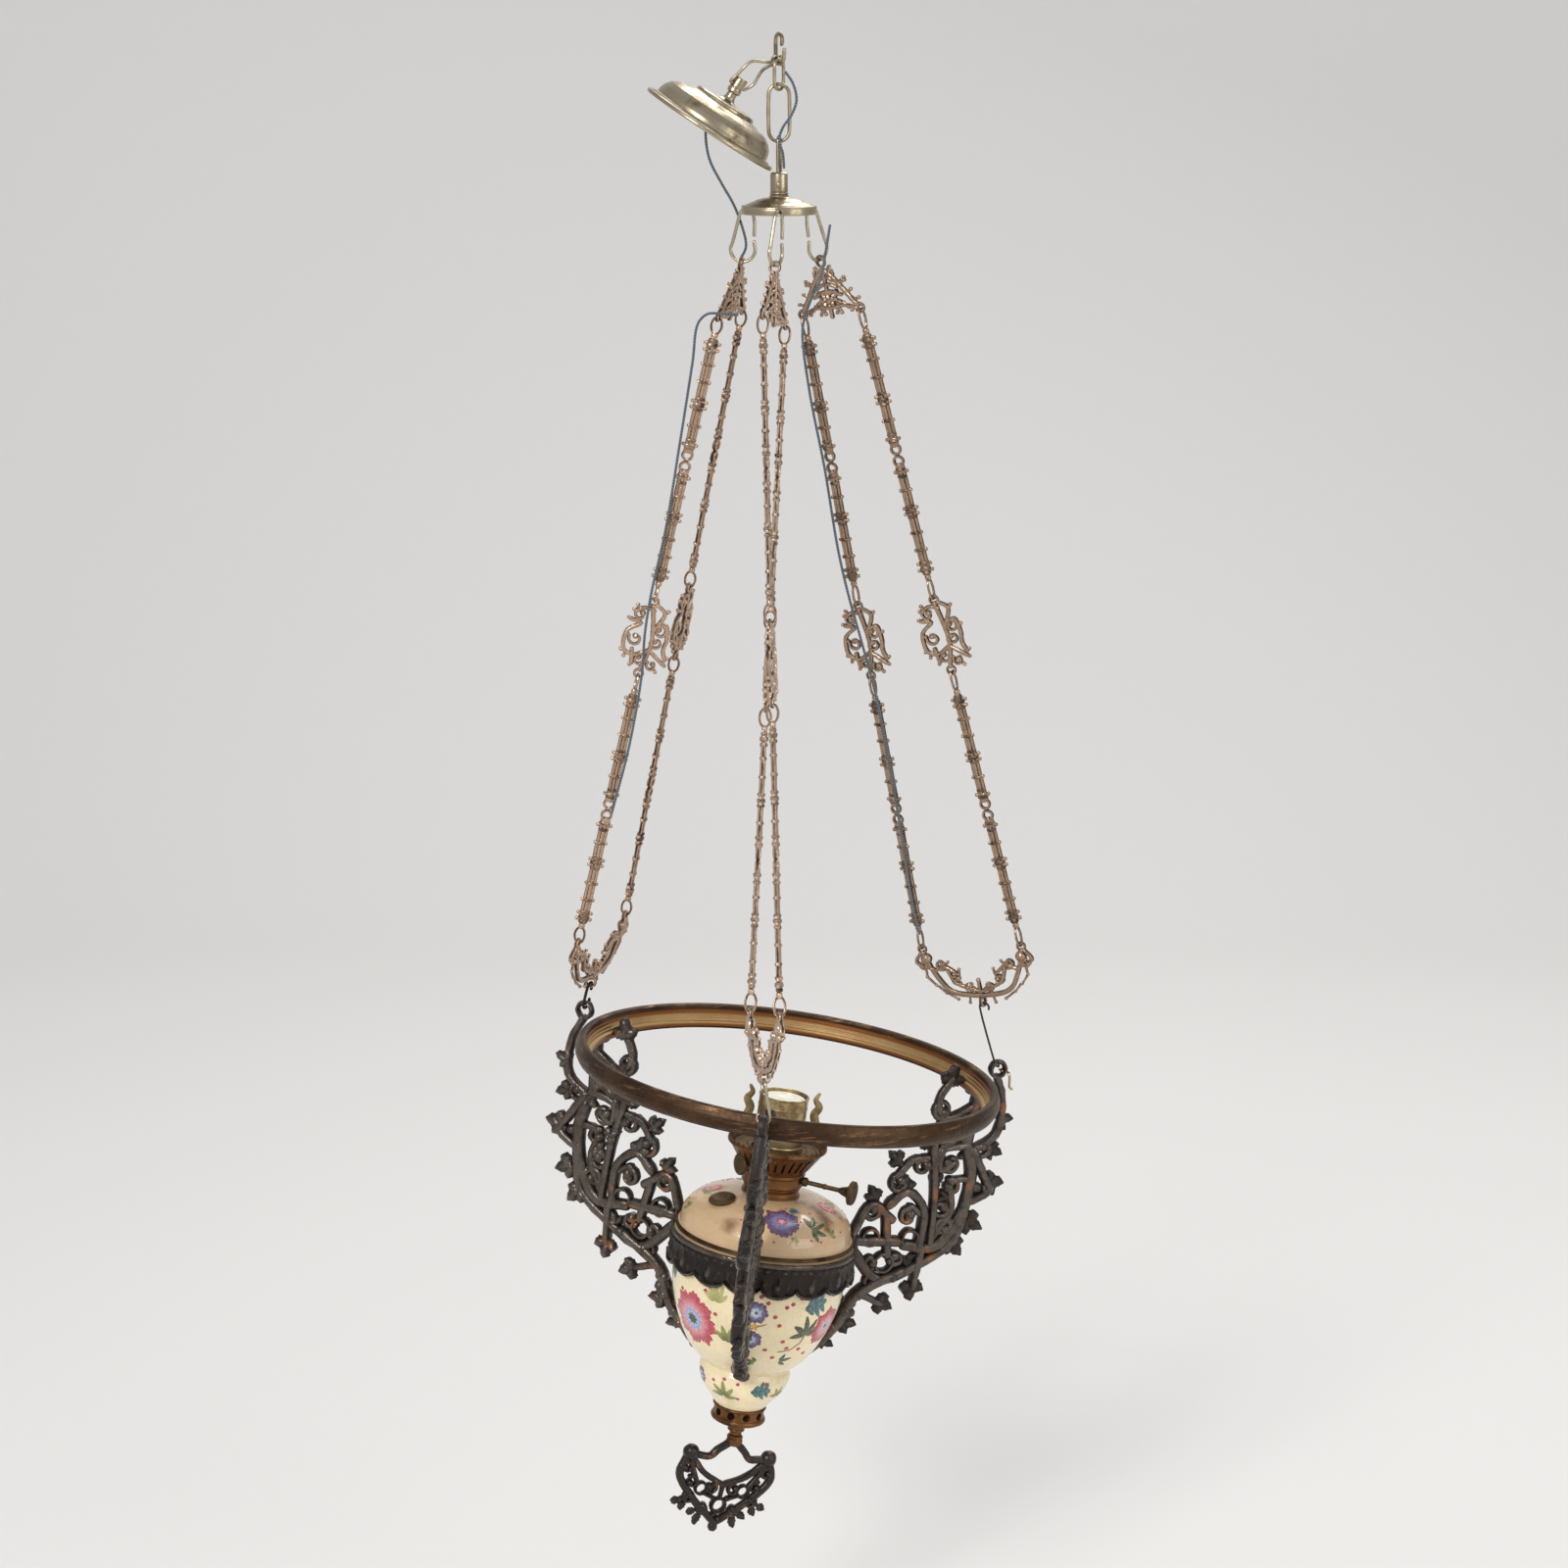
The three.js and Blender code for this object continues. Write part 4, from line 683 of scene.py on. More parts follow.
FINISH_MAKERS = {
    "aged brass": brushed("brass", "tarnish", (0.5, 0.74)),
    "hook brass": brushed("brass", "tarnish", (0.42, 0.7), (0.3, 0.55)),
    "bright wire": brushed("gold", "tarnish", (0.52, 0.75), (0.22, 0.5)),
    "tube brass": brushed("tube", "burner", (0.42, 0.62), (0.25, 0.5), (1, 1, 4), 0.9, 0.8),
    "burner brass": brushed("burner", "tarnish", (0.4, 0.62), (0.32, 0.6), (1, 1, 5), 0.9, 0.8),
    "rim brass": brushed("burner", "cast_dirt_and_shade", (0.4, 0.62), (0.35, 0.6), (1, 1, 5), 0.9, 0.8),
    "copper": brushed("copper", "cast_dirt_and_shade", (0.5, 0.72), (0.32, 0.6), (1, 1, 5), 0.9, 0.8),
    "steel wire": brushed("wire", "cast_dirt_and_shade", (0.4, 0.65), (0.35, 0.6), (1, 1, 1), 0.8, 0.6),
    # Cast finishes: light on high places and dark on sides and hollows, partly wear and dirt, partly painted
    # highlight and painted shade.
    "cast front": cast("cast_front", "cast_dirt_and_shade", 0.65, (0.24, 0.58), 0.5),
    "cast left": cast("cast_left", "cast_dirt_and_shade", 0.65, (0.24, 0.58), 0.52),
    "cast right": cast("cast_right", "cast_dirt_and_shade", 0.65, (0.24, 0.58), 0.56),
    "dark bronze": cast("worn_ridge_highlight", "iron", 0.55, (0.2, 0.46), 0.68, "rub", "cast_dirt_and_shade", 130),
    "band bronze": cast("worn_ridge_highlight", "iron", 0.75, (0.16, 0.46), 0.56, "rub", "cast_dirt_and_shade", 120),
    "handle bronze": cast("iron", "iron", 0.5, (0.26, 0.48), 0.45, "rub", "cast_dirt_and_shade", 130),
    "ring brass": ring_brass,
    "vase glaze": glaze("glaze", False),
    "font glaze": glaze("dome", True),
    "enamel": enamel,
    "flex": braid,
    "porcelain": white_ware,
    "backdrop": backdrop,
}


# Layout: the same heights and frames as the solids, in millimetres

TOP_BEND, LOW_BEND, HOOK_TURN = 5.2, 6.6, 120
TOP_CURL = -(TOP_BEND - 1.6)
LOW_CURL = TOP_CURL - 12
UPPER_TOP, UPPER_LONG, UPPER_WIDE = -18.5, 23.7, 11
LOWER_TOP, LOWER_LONG, LOWER_WIDE = -37.9, 45, 16.5
BAIL_TOP, STEM_TOP, CAP_TOP = -79.4, -107.9, -125.2
CAP_RADIUS, CAP_WALL, CAP_HOLE_Z, CAP_HOLE = 30.5, 2.0, -137.1, 3.1
CAP_HOOK_LONG, CAP_HOOK_TOP, CAP_HOOK_FOOT, CAP_HOOK_WIRE = 42.6, 6, 10.25, 2.4
CROWN_HIGH, CROWN_HALF, BAR_LONG, PLATE_LONG, YOKE_HALF, YOKE_HIGH = 43, 27, 213, 62, 48, 50
CASTINGS_LONG = CROWN_HIGH + 2 * BAR_LONG + PLATE_LONG + YOKE_HIGH
HOOK_EYE = (3.4, 2.2)
SMALL_EYE = (2.5, 2.2)
EYE_THICK = 3.2
# name, hole in the cap, turn and lean of the cap hook, slack, arm, turns of crown and yoke, faces of its strands
CHAINS = (
    ("left", 150, 168, 7, 62, 154, 70, 68, (8, 72)),
    ("front", 270, 240, 9, 67, 264, 71, 104, (82, 86)),
    ("right", 30, 44, 15, 77, 23, -29, -28, (-29, -24)),
)
BASKET_AT = Vector((7.3, -1.5, -(CASTINGS_LONG + 280.2)))
BASKET_MM = Matrix.Translation(BASKET_AT) @ turn(-1.6, "X") @ turn(8, "Y")
BASKET = Matrix.Translation(BASKET_AT * MM) @ turn(-1.6, "X") @ turn(8, "Y")
ARM_EYE_R, ARM_EYE_Z, ARM_HOLE, ARM_EYE_WIDE = 200, 7, 4.8, 4
VASE_TOP, VASE_FOOT, FONT_SEAT = -146.5, -298, -146.2
DOME_FOOT, DOME_HIGH, DOME_R, DOME_POWER = -139.2, 33, 73.8, 2.6
FONT_TOP, BOWL_FOOT, TUBE_TOP = -106.63, -97.43, -20.03
SPINDLE = turn(-20) @ move(0, 0, -91.03)
BASE_TOP, BOSS_TOP = -298.3, -327.3


def seat(bend, thick, gap, half=EYE_THICK / 2):
    """How far a bent wire's centre stands above the flat edge of the eye it rests on."""
    inner = bend * 0.95 - thick / 2
    return thick / 2 + gap + inner - math.sqrt(inner * inner - half * half)


def dome_at(r):
    """Height of the font's dome at a radius."""
    return DOME_FOOT + DOME_HIGH * (1 - (r / DOME_R) ** DOME_POWER) ** (1 / DOME_POWER)


def cap_hook_frame(hole, hook_turn, lean):
    """The frame of a long oval under the cap, and the place of its foot."""
    out = around(hook_turn)
    down = out * math.sin(math.radians(lean)) - Z * math.cos(math.radians(lean))
    rest = seat(CAP_HOOK_TOP, CAP_HOOK_WIRE, 1.3, CAP_WALL / 2) - CAP_HOLE
    origin = around(hole) * (CAP_RADIUS - CAP_WALL / 2) + Z * (CAP_HOLE_Z + rest)
    return hung(origin, out, down), origin + down * CAP_HOOK_LONG


def hanging(name):
    """Where the castings of a chain hang: crown, yoke, strands and the ends of its lowest hook."""
    _, hole, hook_turn, lean, slack, arm, crown_turn, yoke_turn, faces = next(
        c for c in CHAINS if c[0] == name)
    drop = CASTINGS_LONG + slack
    start = cap_hook_frame(hole, hook_turn, lean)[1]
    arm_seat = BASKET_MM @ (around(arm) * ARM_EYE_R + Z * ARM_EYE_Z)
    down = (arm_seat - start).normalized()
    crown_way, yoke_way = square_to(down, around(crown_turn)), square_to(down, around(yoke_turn))
    yoke_top = drop - YOKE_HIGH
    sign = math.copysign(1, crown_way.dot(yoke_way))
    strands = []
    for side, face in zip((-1, 1), faces):
        top = start + down * CROWN_HIGH + crown_way * (side * CROWN_HALF)
        foot = start + down * yoke_top + yoke_way * (side * sign * YOKE_HALF)
        way = (foot - top).normalized()
        pitch = ((foot - top).length - 2 * BAR_LONG - PLATE_LONG) / 4
        strands.append((top, way, pitch, face))
    return {
        "crown": hung(start, around(crown_turn), down), "eye_turn": hook_turn - 90 - crown_turn,
        "yoke": hung(start + down * yoke_top, around(yoke_turn), down), "strands": strands,
        "crown_turn": crown_turn, "yoke_turn": yoke_turn, "arm": arm, "down": down,
        "foot": start + down * drop, "arm_seat": arm_seat,
    }


# Stage

def make_stage():
    """Camera as fitted to the photograph, a floor that curves up behind, three area lamps and a soft sky."""
    scene = bpy.context.scene
    scene.view_settings.view_transform = "Standard"
    lens = bpy.data.cameras.new("camera")
    lens.lens, lens.sensor_width = 81.045, 36
    lens.clip_end = 30
    camera = bpy.data.objects.new("camera", lens)
    camera.location = (0.004, -2.88, 0.0142)
    camera.rotation_euler = (math.radians(77.75), 0, 0)
    bpy.context.collection.objects.link(camera)
    scene.camera = camera
    floor, wide, near, bend_at, bend = -size("floor_depth") * MM, 9.0, -7.0, 2.6, 1.6
    profile = [(near, floor), (bend_at, floor)]
    profile += [(bend_at + math.sin(a) * bend, floor + (1 - math.cos(a)) * bend)
                for a in (math.pi / 2 * i / 24 for i in range(1, 25))] + [(bend_at + bend, floor + 9)]
    mesh = bpy.data.meshes.new("floor")
    mesh.from_pydata([(x, y, z) for y, z in profile for x in (-wide, wide)], [],
                     [(i, i + 1, i + 3, i + 2) for i in range(0, 2 * len(profile) - 2, 2)])
    mesh.polygons.foreach_set("use_smooth", [True] * len(mesh.polygons))
    sweep = bpy.data.objects.new("floor", mesh)
    mesh.materials.append(finish("backdrop"))
    bpy.context.collection.objects.link(sweep)
    middle = Vector((0, 0, -0.75))
    for name, place, power, wide in (("key", (-1.5, -3.2, 1.3), 92, 1.1), ("fill", (3.0, -2.2, 0.2), 34, 2.2),
                                     ("back", (0.8, 1.9, 1.7), 42, 1.6)):
        data = bpy.data.lights.new(name, "AREA")
        data.energy, data.size = power, wide
        lamp = bpy.data.objects.new(name, data)
        lamp.location = place
        lamp.rotation_euler = (middle - lamp.location).to_track_quat("-Z", "Y").to_euler()
        bpy.context.collection.objects.link(lamp)
    world = scene.world or bpy.data.worlds.new("world")
    scene.world = world
    world.use_nodes = True
    back = world.node_tree.nodes["Background"]
    back.inputs["Color"].default_value = (0.93, 0.95, 1.0, 1)
    back.inputs["Strength"].default_value = 0.56


# Flexes

def flex_piece(name, body, points, matrix=Matrix.Identity(4)):
    """A bare-ended length of braided flex along the given points."""
    line = through([matrix @ Vector(p) for p in points], 8)
    thick, sides = size("flex"), 12
    ring = [(u * thick / 2, v * thick / 2) for u, v in circle(sides)]
    form = Form().sweep(line, lambda t: ring, tips=False)
    form.high = [j / sides for _ in line for j in range(sides)]
    made = form.piece(name + "_braid", Matrix.Identity(4), body, "flex", "flex", name, sharp=60)
    path = [tuple(p * MM) for p in line]
    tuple(path[0])
    running(line)[-1] * MM
    thick * MM


def make_flexes():
    flex_piece("flex_feed", "lamp", [
        (-58, 4, -66), (-59, 6, -80), (-56, 10, -98), (-46, 16, -118), (-37, 20, -134), (-30, 18.9, -152),
        (-27, 20.4, -168), (-32, 23.4, -179)])
    flex_piece("flex_links", "lower_link", [
        (5, -7, -28), (11, -6, -37), (14, -5.6, -50), (10, -5.6, -62), (3, -5.8, -72), (0, -6, -82),
        (3, -7, -92), (4, -9, -104)])
    routes = (
        ("flex_left", "left", [
            (-6, 14, 9), (-4, 2, 8), (-1, -10, 5), (8, -16, 5), (40, -13.5, 5), (110, -9, 5), (180, -5, 5),
            (236, -5, 5), (270, -3, 5.4), (305, 2, 5.4), (370, 5, 5), (430, 3, 5)]),
        ("flex_right", "right", [
            (-73, 45, 8), (-54, 38, 9), (-30, 28, 10), (-12, 14, 9), (10, 1, 6.8), (60, -4.5, 5.3),
            (130, -4, 5.3), (200, -6, 5), (240, -4, 5.4), (280, 0, 5.4), (330, 4, 5), (400, 4.6, 5),
            (470, 3, 5), (520, 2, 5.6), (548, 5, 8)]),
    )
    for name, chain, route in routes:
        top, way, _, face = hanging(chain)["strands"][0]
        flex_piece(name, "lamp", [(across, -front, -down) for down, across, front in route],
                   hung(top, around(face), way))


# Hook, links, stem and cap

def make_hardware():
    line = arc(0, TOP_CURL, TOP_BEND, 215, 0, 12) + arc(TOP_BEND - LOW_BEND, LOW_CURL, LOW_BEND, 0, -180, 12)
    line.append(Vector((TOP_BEND - 2 * LOW_BEND - 0.6, 0, LOW_CURL + 5)))
    hook = Form().wire(line, size("hook_wire"), 3, 16)
    hook.piece("ceiling_hook_wire", turn(HOOK_TURN), "ceiling_hook", "aged_brass", "hook brass", "ceiling_hook")
    for name, wide, long, thick, top, twist in (
            ("upper_link", UPPER_WIDE, UPPER_LONG, size("upper_wire"), UPPER_TOP, 50),
            ("lower_link", LOWER_WIDE, LOWER_LONG, size("lower_wire"), LOWER_TOP, 0)):
        line = arc(0, -wide / 2, wide / 2, 0, 180, 10) + arc(0, -long + wide / 2, wide / 2, 180, 360, 10)
        link = Form().wire(line, thick, 4, 14, closed=True)
        link.piece(name + "_wire", move(0, 0, top) @ turn(twist), name, "aged_brass", "hook brass", name)
    leg = [Vector((4, 0, -31.5)), Vector((4, 0, -14))]
    line = leg + arc(0, -4, 4, 0, 180, 8) + [Vector((-4, 0, p.z)) for p in leg[::-1]]
    bail = Form().wire(line, size("bail_wire"), 3, 14)
    bail.piece("stem_bail_wire", move(0, 0, BAIL_TOP) @ turn(75), "lamp", "aged_brass",
               "hook brass", "stem_bail")
    stem = Form().lathe([
        (0, 0.6), (5.6, 0.6), (6.4, 0), (7.1, -0.8), (7.1, -14.6), (6.8, -15), (7.5, -15.6), (7.5, -17),
        (0, -17)], 64, 0.35)
    screw = Form().lathe([(0, 0), (2.3, 0), (2.3, 0.7), (1.6, 1.3), (0, 1.5)], 24, 0.3)
    stem.put(screw, move(0, -7, -9.4) @ turn(90, "X"))
    groove = Form().rings([[Vector((x, y, z)) for x, y in ((-3, -9.4), (3, -9.4), (3, -8.1), (-3, -8.1))]
                          for z in (-9.8, -9.0)])
    stem.piece("stem_tube", move(0, 0, STEM_TOP), "lamp", "aged_brass", "aged brass", "stem_socket",
               cutters=[groove])
    cap = Form().lathe([
        (0, 0), (7.4, 0), (8.0, -1.6), (8.8, -2.4), (13, -2.7), (19, -4.4), (20, -5.5), (21.4, -5.6),
        (26.6, -7.8), (27.2, -8.5), (30.1, -8.6), (30.6, -9.4), (30.2, -10.2), (30.5, -11), (30.5, -15),
        (30.1, -15.6), (28.5, -15.6), (28.5, -10.2), (18, -7.4), (0, -6)], 128, 0.4)
    bores = [peg(CAP_HOLE, CAP_RADIUS - 6, CAP_RADIUS + 6, turn(hole) @ move(0, 0, CAP_HOLE_Z - CAP_TOP))
             for _, hole, *_ in CHAINS]
    cap.piece("spider_cap_dish", move(0, 0, CAP_TOP), "lamp", "aged_brass", "aged brass",
              "spider_cap", cutters=bores)
    for name, hole, hook_turn, lean, *_ in CHAINS:
        def inner(depth):
            return -(12 + 8.5 * depth / CAP_HOOK_LONG) / 2
        line = [Vector((inner(20), 0, -20)), Vector((inner(10), 0, -10))]
        line += arc(0, -CAP_HOOK_TOP, CAP_HOOK_TOP, 180, 0, 8) + [Vector((9.2, 0, -28))]
        line += arc(0, -CAP_HOOK_LONG + CAP_HOOK_FOOT, CAP_HOOK_FOOT, 0, -180, 10)
        line.append(Vector((inner(25), 0, -25)))
        oval = Form().wire(line, size("cap_wire"), 4, 12)
        oval.piece(f"cap_hook_{name}_wire", cap_hook_frame(hole, hook_turn, lean)[0], "lamp", "brass",
                   "bright wire", f"cap_hook_{name}")


# Canopy

def make_canopy():
    lean, rim = 33, Vector((-56.4, 4, -74.6))
    axis = Vector((math.sin(math.radians(lean)), 0, math.cos(math.radians(lean))))
    over = around(HOOK_TURN - 90)
    across = square_to(axis, over)
    place = basis(across, axis.cross(across), axis, rim)
    dish = Form().lathe([
        (58.6, -0.2), (59.2, 1.2), (58.8, 2.8), (57.4, 3.5), (56.2, 3.0), (55.8, 2.5), (55, 3.4), (53.8, 4.6),
        (52, 4.8), (51.6, 5.2), (51.3, 8.2), (49.6, 12.6), (46, 16.8), (41, 19.8), (36.6, 21.2), (35.6, 20.8),
        (34, 21), (30, 22.6), (26.6, 23.4), (26.3, 24.4), (26, 25.6), (24.4, 26.6), (18, 27.2), (11, 27.4),
        (8, 27.8), (5.4, 29), (4.3, 31), (4, 35.4), (5.2, 35.6), (5.7, 36.4), (5.7, 39.2), (5.2, 40),
        (5.6, 40.8), (5.6, 48.6), (4.8, 49.4), (2, 49.4), (2, 22.6), (26, 22.4), (36, 19), (45.6, 13.2),
        (52, 2), (57.6, 0)], 128, 0.4)
    cross = 49.4 - 7
    hole = peg(2.0, -17, 17, move(0, 0, cross))
    dish.piece("canopy_dish", place, "canopy", "aged_brass", "aged brass", "canopy", cutters=[hole])
    thick = size("bail_wire")
    at_cross = rim + axis * cross
    curl_at = Vector((0, 0, LOW_CURL)) + around(HOOK_TURN) * (TOP_BEND - LOW_BEND)
    apex = curl_at + around(HOOK_TURN) * 3 + Z * 0.5
    pull = (at_cross - apex).normalized()
    clear = square_to(over, pull)
    reach = 5.6 + thick / 2 + 0.7
    bend = 3.5

    def in_hook(t, side):
        return apex + clear * t + over * side

    def on_pull(t, side):
        return at_cross + pull * t + across * (side * reach)

    def leg(side):
        return [in_hook(bend * 0.35, side * bend * 0.75), in_hook(bend, side * bend),
                in_hook(bend * 2, side * bend * 1.1), on_pull(-20, side * 0.9) + Z * 4, on_pull(-8, side * 1.2),
                on_pull(-1.8, side * 1.12), on_pull(0, side), at_cross + across * (side * (reach - 3))]

    line = leg(-1)[::-1] + [apex] + leg(1)
    bail = Form().wire(line, thick, 4, 12)
    bail.piece("canopy_bail_wire", Matrix.Identity(4), "canopy", "aged_brass", "bright wire", "canopy_bail")


# Chains

def prong(form, x, z, angle, long, thick, bead, side=1):
    """A cast spike with a ball on its end, mirrored where side is -1."""
    x, angle = side * x, angle if side > 0 else 180 - angle
    foot, tip = form.nearest(x, z), Vector((x, 0, z)) + upright(angle) * long
    form.stroke([(foot.x, foot.z), (tip.x, tip.z)], (thick, thick * 0.8), thick, 2, tips=False)
    form.ball(tip.x, 0, tip.z, bead / 2)


def crown_form(eye_turn):
    t, bead = size("cast_thickness"), size("bead")
    h, w = CROWN_HIGH, CROWN_HALF
    top = HOOK_EYE[0] - seat(CAP_HOOK_FOOT, CAP_HOOK_WIRE, 0.7)
    f = Form().put(Form().eye(0, -top, *HOOK_EYE, EYE_THICK), turn(eye_turn))
    f.stroke([(0, -top - 4.4), (0, -h + 10)], (3.6, 3), t, 3)
    f.both([(1, -9), (9, -17), (18, -30), (w - 1, -h + 2)], (4.2, 3.8), t)
    for half, z, rise in ((6.5, -15, 2.6), (9.6, -21, 3.2), (12.6, -27, 3.6), (11, -33, 3.4)):
        f.stroke([(-half, z - rise), (-half * 0.5, z - 0.4), (0, z + 0.5), (half * 0.5, z - 0.4),
                  (half, z - rise)], 3.3, t * 0.95, 3)
    for x, z, angle, long in (
            (5, -9.5, 60, 5), (8.5, -14, 95, 5.5), (12.5, -21, 40, 6), (18, -19, 90, 3.6), (19.5, -30, 48, 6),
            (24, -36, 20, 6), (15, -38, -60, 5), (20, -41, -100, 4.4), (5, -41, -84, 5.6), (10, -42, -94, 4.4)):
        for side in (1, -1):
            prong(f, x, z, angle, long * 0.72, 2.8, bead * 0.86, side)
    f.both([(11, -20), (18, -19)], (3, 3.2), t)
    f.both([(1, -29), (9, -27), (4, -36)], (2.8, 2.4), t)
    f.stroke([(-w + 2, -h), (-w / 2, -h + 3.6), (0, -h + 2.6), (w / 2, -h + 3.6), (w - 2, -h)], 3.3, t, 4)
    f.eye(-w, -h, *SMALL_EYE, EYE_THICK)
    f.eye(w, -h, *SMALL_EYE, EYE_THICK)
    for i in range(6):
        a = math.radians(60 * i + 30)
        for front in (-1.1, 1.1):
            f.ball(math.cos(a) * 4.1, front, -h + 8 + math.sin(a) * 4.1, 2.3, 0.9, 8)
    f.ball(0, 0, -h + 8, 3, 1.2)
    f.stroke([(0, -h + 3), (0, -h - 5)], (3, 3.6), t, 2)
    return f.roughen(0.35, 3.2)


def plate_form():
    t, bead = size("cast_thickness"), size("bead")
    f = Form().eye(0, 0, *SMALL_EYE, EYE_THICK)
    f.eye(0, -PLATE_LONG, *SMALL_EYE, EYE_THICK)
    for points, widths in (
            ([(0, -3), (4, -24), (5, -38), (0, -PLATE_LONG + 3)], (4, 3.8)),
            ([(3, -2), (11, -8), (4, -25)], (3.4, 4)), ([(-13, -9), (-6, -5.5), (2, -7)], (3.8, 3.2)),
            ([(-16, -17), (-7, -19), (-17, -27), (-17, -43), (-8, -47), (4, -41)], (3.6, 3.8)),
            ([(-10, -42), (-8, -54)], (3.4, 4)),
            ([(4, -22), (14, -18), (17, -30), (16, -40), (19, -47)], (3.4, 3.8)),
            ([(4, -41), (18, -51)], (3.4, 3.8))):
        f.stroke(points, widths, t)
    for x, z, radius, start, sweep, wide in (
            (-9, -12, 5.4, 100, 300, 3.2), (10, -24, 5.6, 60, -290, 3.1), (-9, -33, 6.2, 160, 300, 3.1),
            (9, -34, 5.2, 200, 300, 3.0), (-3, -50, 5.0, 20, -290, 3.0), (9, -54, 4.6, 140, 280, 3.0)):
        f.curl(x, z, radius, start, sweep, wide, t)
    for x, z, angle in (
            (-13, -9, 170), (-12, -6, 118), (-16, -17, 150), (-17, -43, 205), (-8, -54, 235), (-14, -48, 215),
            (18, -51, -30), (19, -46, 12), (17, -24, 22), (12, -7, 40), (12, -57, -50)):
        prong(f, x, z, angle, 2.2, 2.9, bead * 0.86)
    return f.roughen(0.35, 3.2)


def yoke_form():
    t, bead = size("cast_thickness"), size("bead")
    w, h = YOKE_HALF, YOKE_HIGH
    f = Form()
    for side in (-1, 1):
        f.eye(side * w, 0, *SMALL_EYE, EYE_THICK)
        f.ball(side * (w - 2), 0, -9, 5, 0.9, 14)
        f.put(Form().eye(0, 0, 3.4, 1.8, t, 16), move(side * (w - 2), 0, -9))
        f.curls(((w - 15, -15, 5, 250, 290), (w - 27, -29, 4.8, 230, 290), (w - 38, -36, 4.4, 200, 290),
                 (w + 2, -16, 4.2, 90, 280)), side, 3.2, t)
        for x, z, angle in ((w + 6, -13, 10), (w - 1, -25, -28), (w - 8, -33, -35), (w - 16, -40, -50),
                            (w - 26, -46, -62), (w - 36, -49, -75), (w - 22, -15, 95), (w - 31, -22, 100)):
            prong(f, x, z, angle, 2.2, 2.3, bead * 0.8, side)
    for points, widths in (
            ([(w, -3), (w - 7, -22), (w - 20, -40), (0, -h + 5)], (4, 4.8)),
            ([(w + 2, -3), (w + 8, -12), (w - 7, -19)], (3, 3.4)),
            ([(w - 7, -21), (w - 18, -17), (w - 29, -24)], (3.4, 3.6)),
            ([(w - 20, -19), (w - 26, -32), (0, -41)], (3.4, 3.6))):
        f.both(points, widths, t)
    f.stroke([(0, -31), (0, -h + 3)], (3, 3.4), t, 3)
    prong(f, 0, -32, 90, 2, 2.4, bead)
    f.put(Form().eye(0, 0, *HOOK_EYE, EYE_THICK), move(0, 0, -h) @ turn(90))
    return f.roughen(0.35, 3.2)


def bar_form(pitch, top_turn, foot_turn):
    """Three rods side by side, tied by collars with ball prongs, two rings in the middle, a link at each end."""
    rod, bead, t = size("flute"), size("bead"), size("cast_thickness")
    half = BAR_LONG / 2
    f = Form()
    for offset, front in ((-2.6, 0), (2.6, 0), (0, 0.8), (0, -0.8)):
        for side in (-1, 1):
            f.wire([(offset, front, side * z) for z in (8, 50, 97)], rod, 6, 8)
    for side in (-1, 1):
        for z, wide, tall in (
                (12, 4.9, 1.5), (18, 4.6, 1.3), (30, 4.5, 1.2), (44, 4.6, 1.3), (48, 5.1, 1.7), (53, 4.6, 1.3),
                (67, 4.5, 1.2), (82, 4.5, 1.2), (93, 4.8, 1.5), (98, 5.1, 1.9), (102, 4.2, 1.5)):
            collar = Form().lathe([(0, -tall), (wide - 0.6, -tall), (wide, 0), (wide - 0.6, tall), (0, tall)],
                                  12, 0.3)
            f.put(collar, move(0, 0, side * z) @ Matrix.Diagonal((1, 0.72, 1, 1)))
        for z, long in (
                (14, 2.2), (30, 1.2), (45.5, 2.4), (50.5, 2.4), (67, 1.2), (82, 1.2), (94, 2.2), (99.5, 2.6)):
            for out in (-1, 1):
                prong(f, 3.2, side * z, 0, long, 3.2, bead * 0.86, out)
        f.eye(0, side * 5, 2.8, 2.4, t, 18)
        f.stroke([(0, side * 9.4), (0, side * 14)], (6, 7.4), t, 2)
        f.stroke([(0, side * 99), (0, side * (half - 1))], (5.6, 4.4), t, 4)
        f.ball(0, 0, side * (half - 0.4), 3.0, 0.9)
    bite = 2.5 - 1.1
    long = pitch - (bite - 0.3) - (bite + 0.25)
    for start, spin in ((half + pitch - (bite - 0.3), top_turn), (-half - bite - 0.25, foot_turn)):
        flat, wide = 2.2, 4.2
        line = [(0, flat, -0.3), (0, 0, 0.1), (0, -flat, -0.3), (0, -wide, -long * 0.3), (0, -wide, -long * 0.7),
                (0, -flat, -long + 0.3), (0, 0, -long - 0.1), (0, flat, -long + 0.3), (0, wide, -long * 0.7),
                (0, wide, -long * 0.3)]
        f.put(Form().wire(line, 2.2, 3, 8, closed=True), move(0, 0, start) @ turn(spin))
    return f.roughen(0.3, 3.0)


def double_hook(start, stop, start_side, stop_side, thick, bend):
    """A wire from one eye down to another, curled round each, the curls open to opposite sides."""
    down = (stop - start).normalized()

    def curl(centre, side, angles):
        return [centre + side * (bend * math.cos(math.radians(a))) - down * (bend * math.sin(math.radians(a)))
                for a in angles]

    angles = list(range(-30, 181, 30))
    line = curl(start + down * bend, square_to(down, start_side), angles)
    line += curl(stop - down * bend, square_to(down, stop_side), [a + 180 for a in angles])[::-1]
    return Form().wire(line, thick, 4, 10)


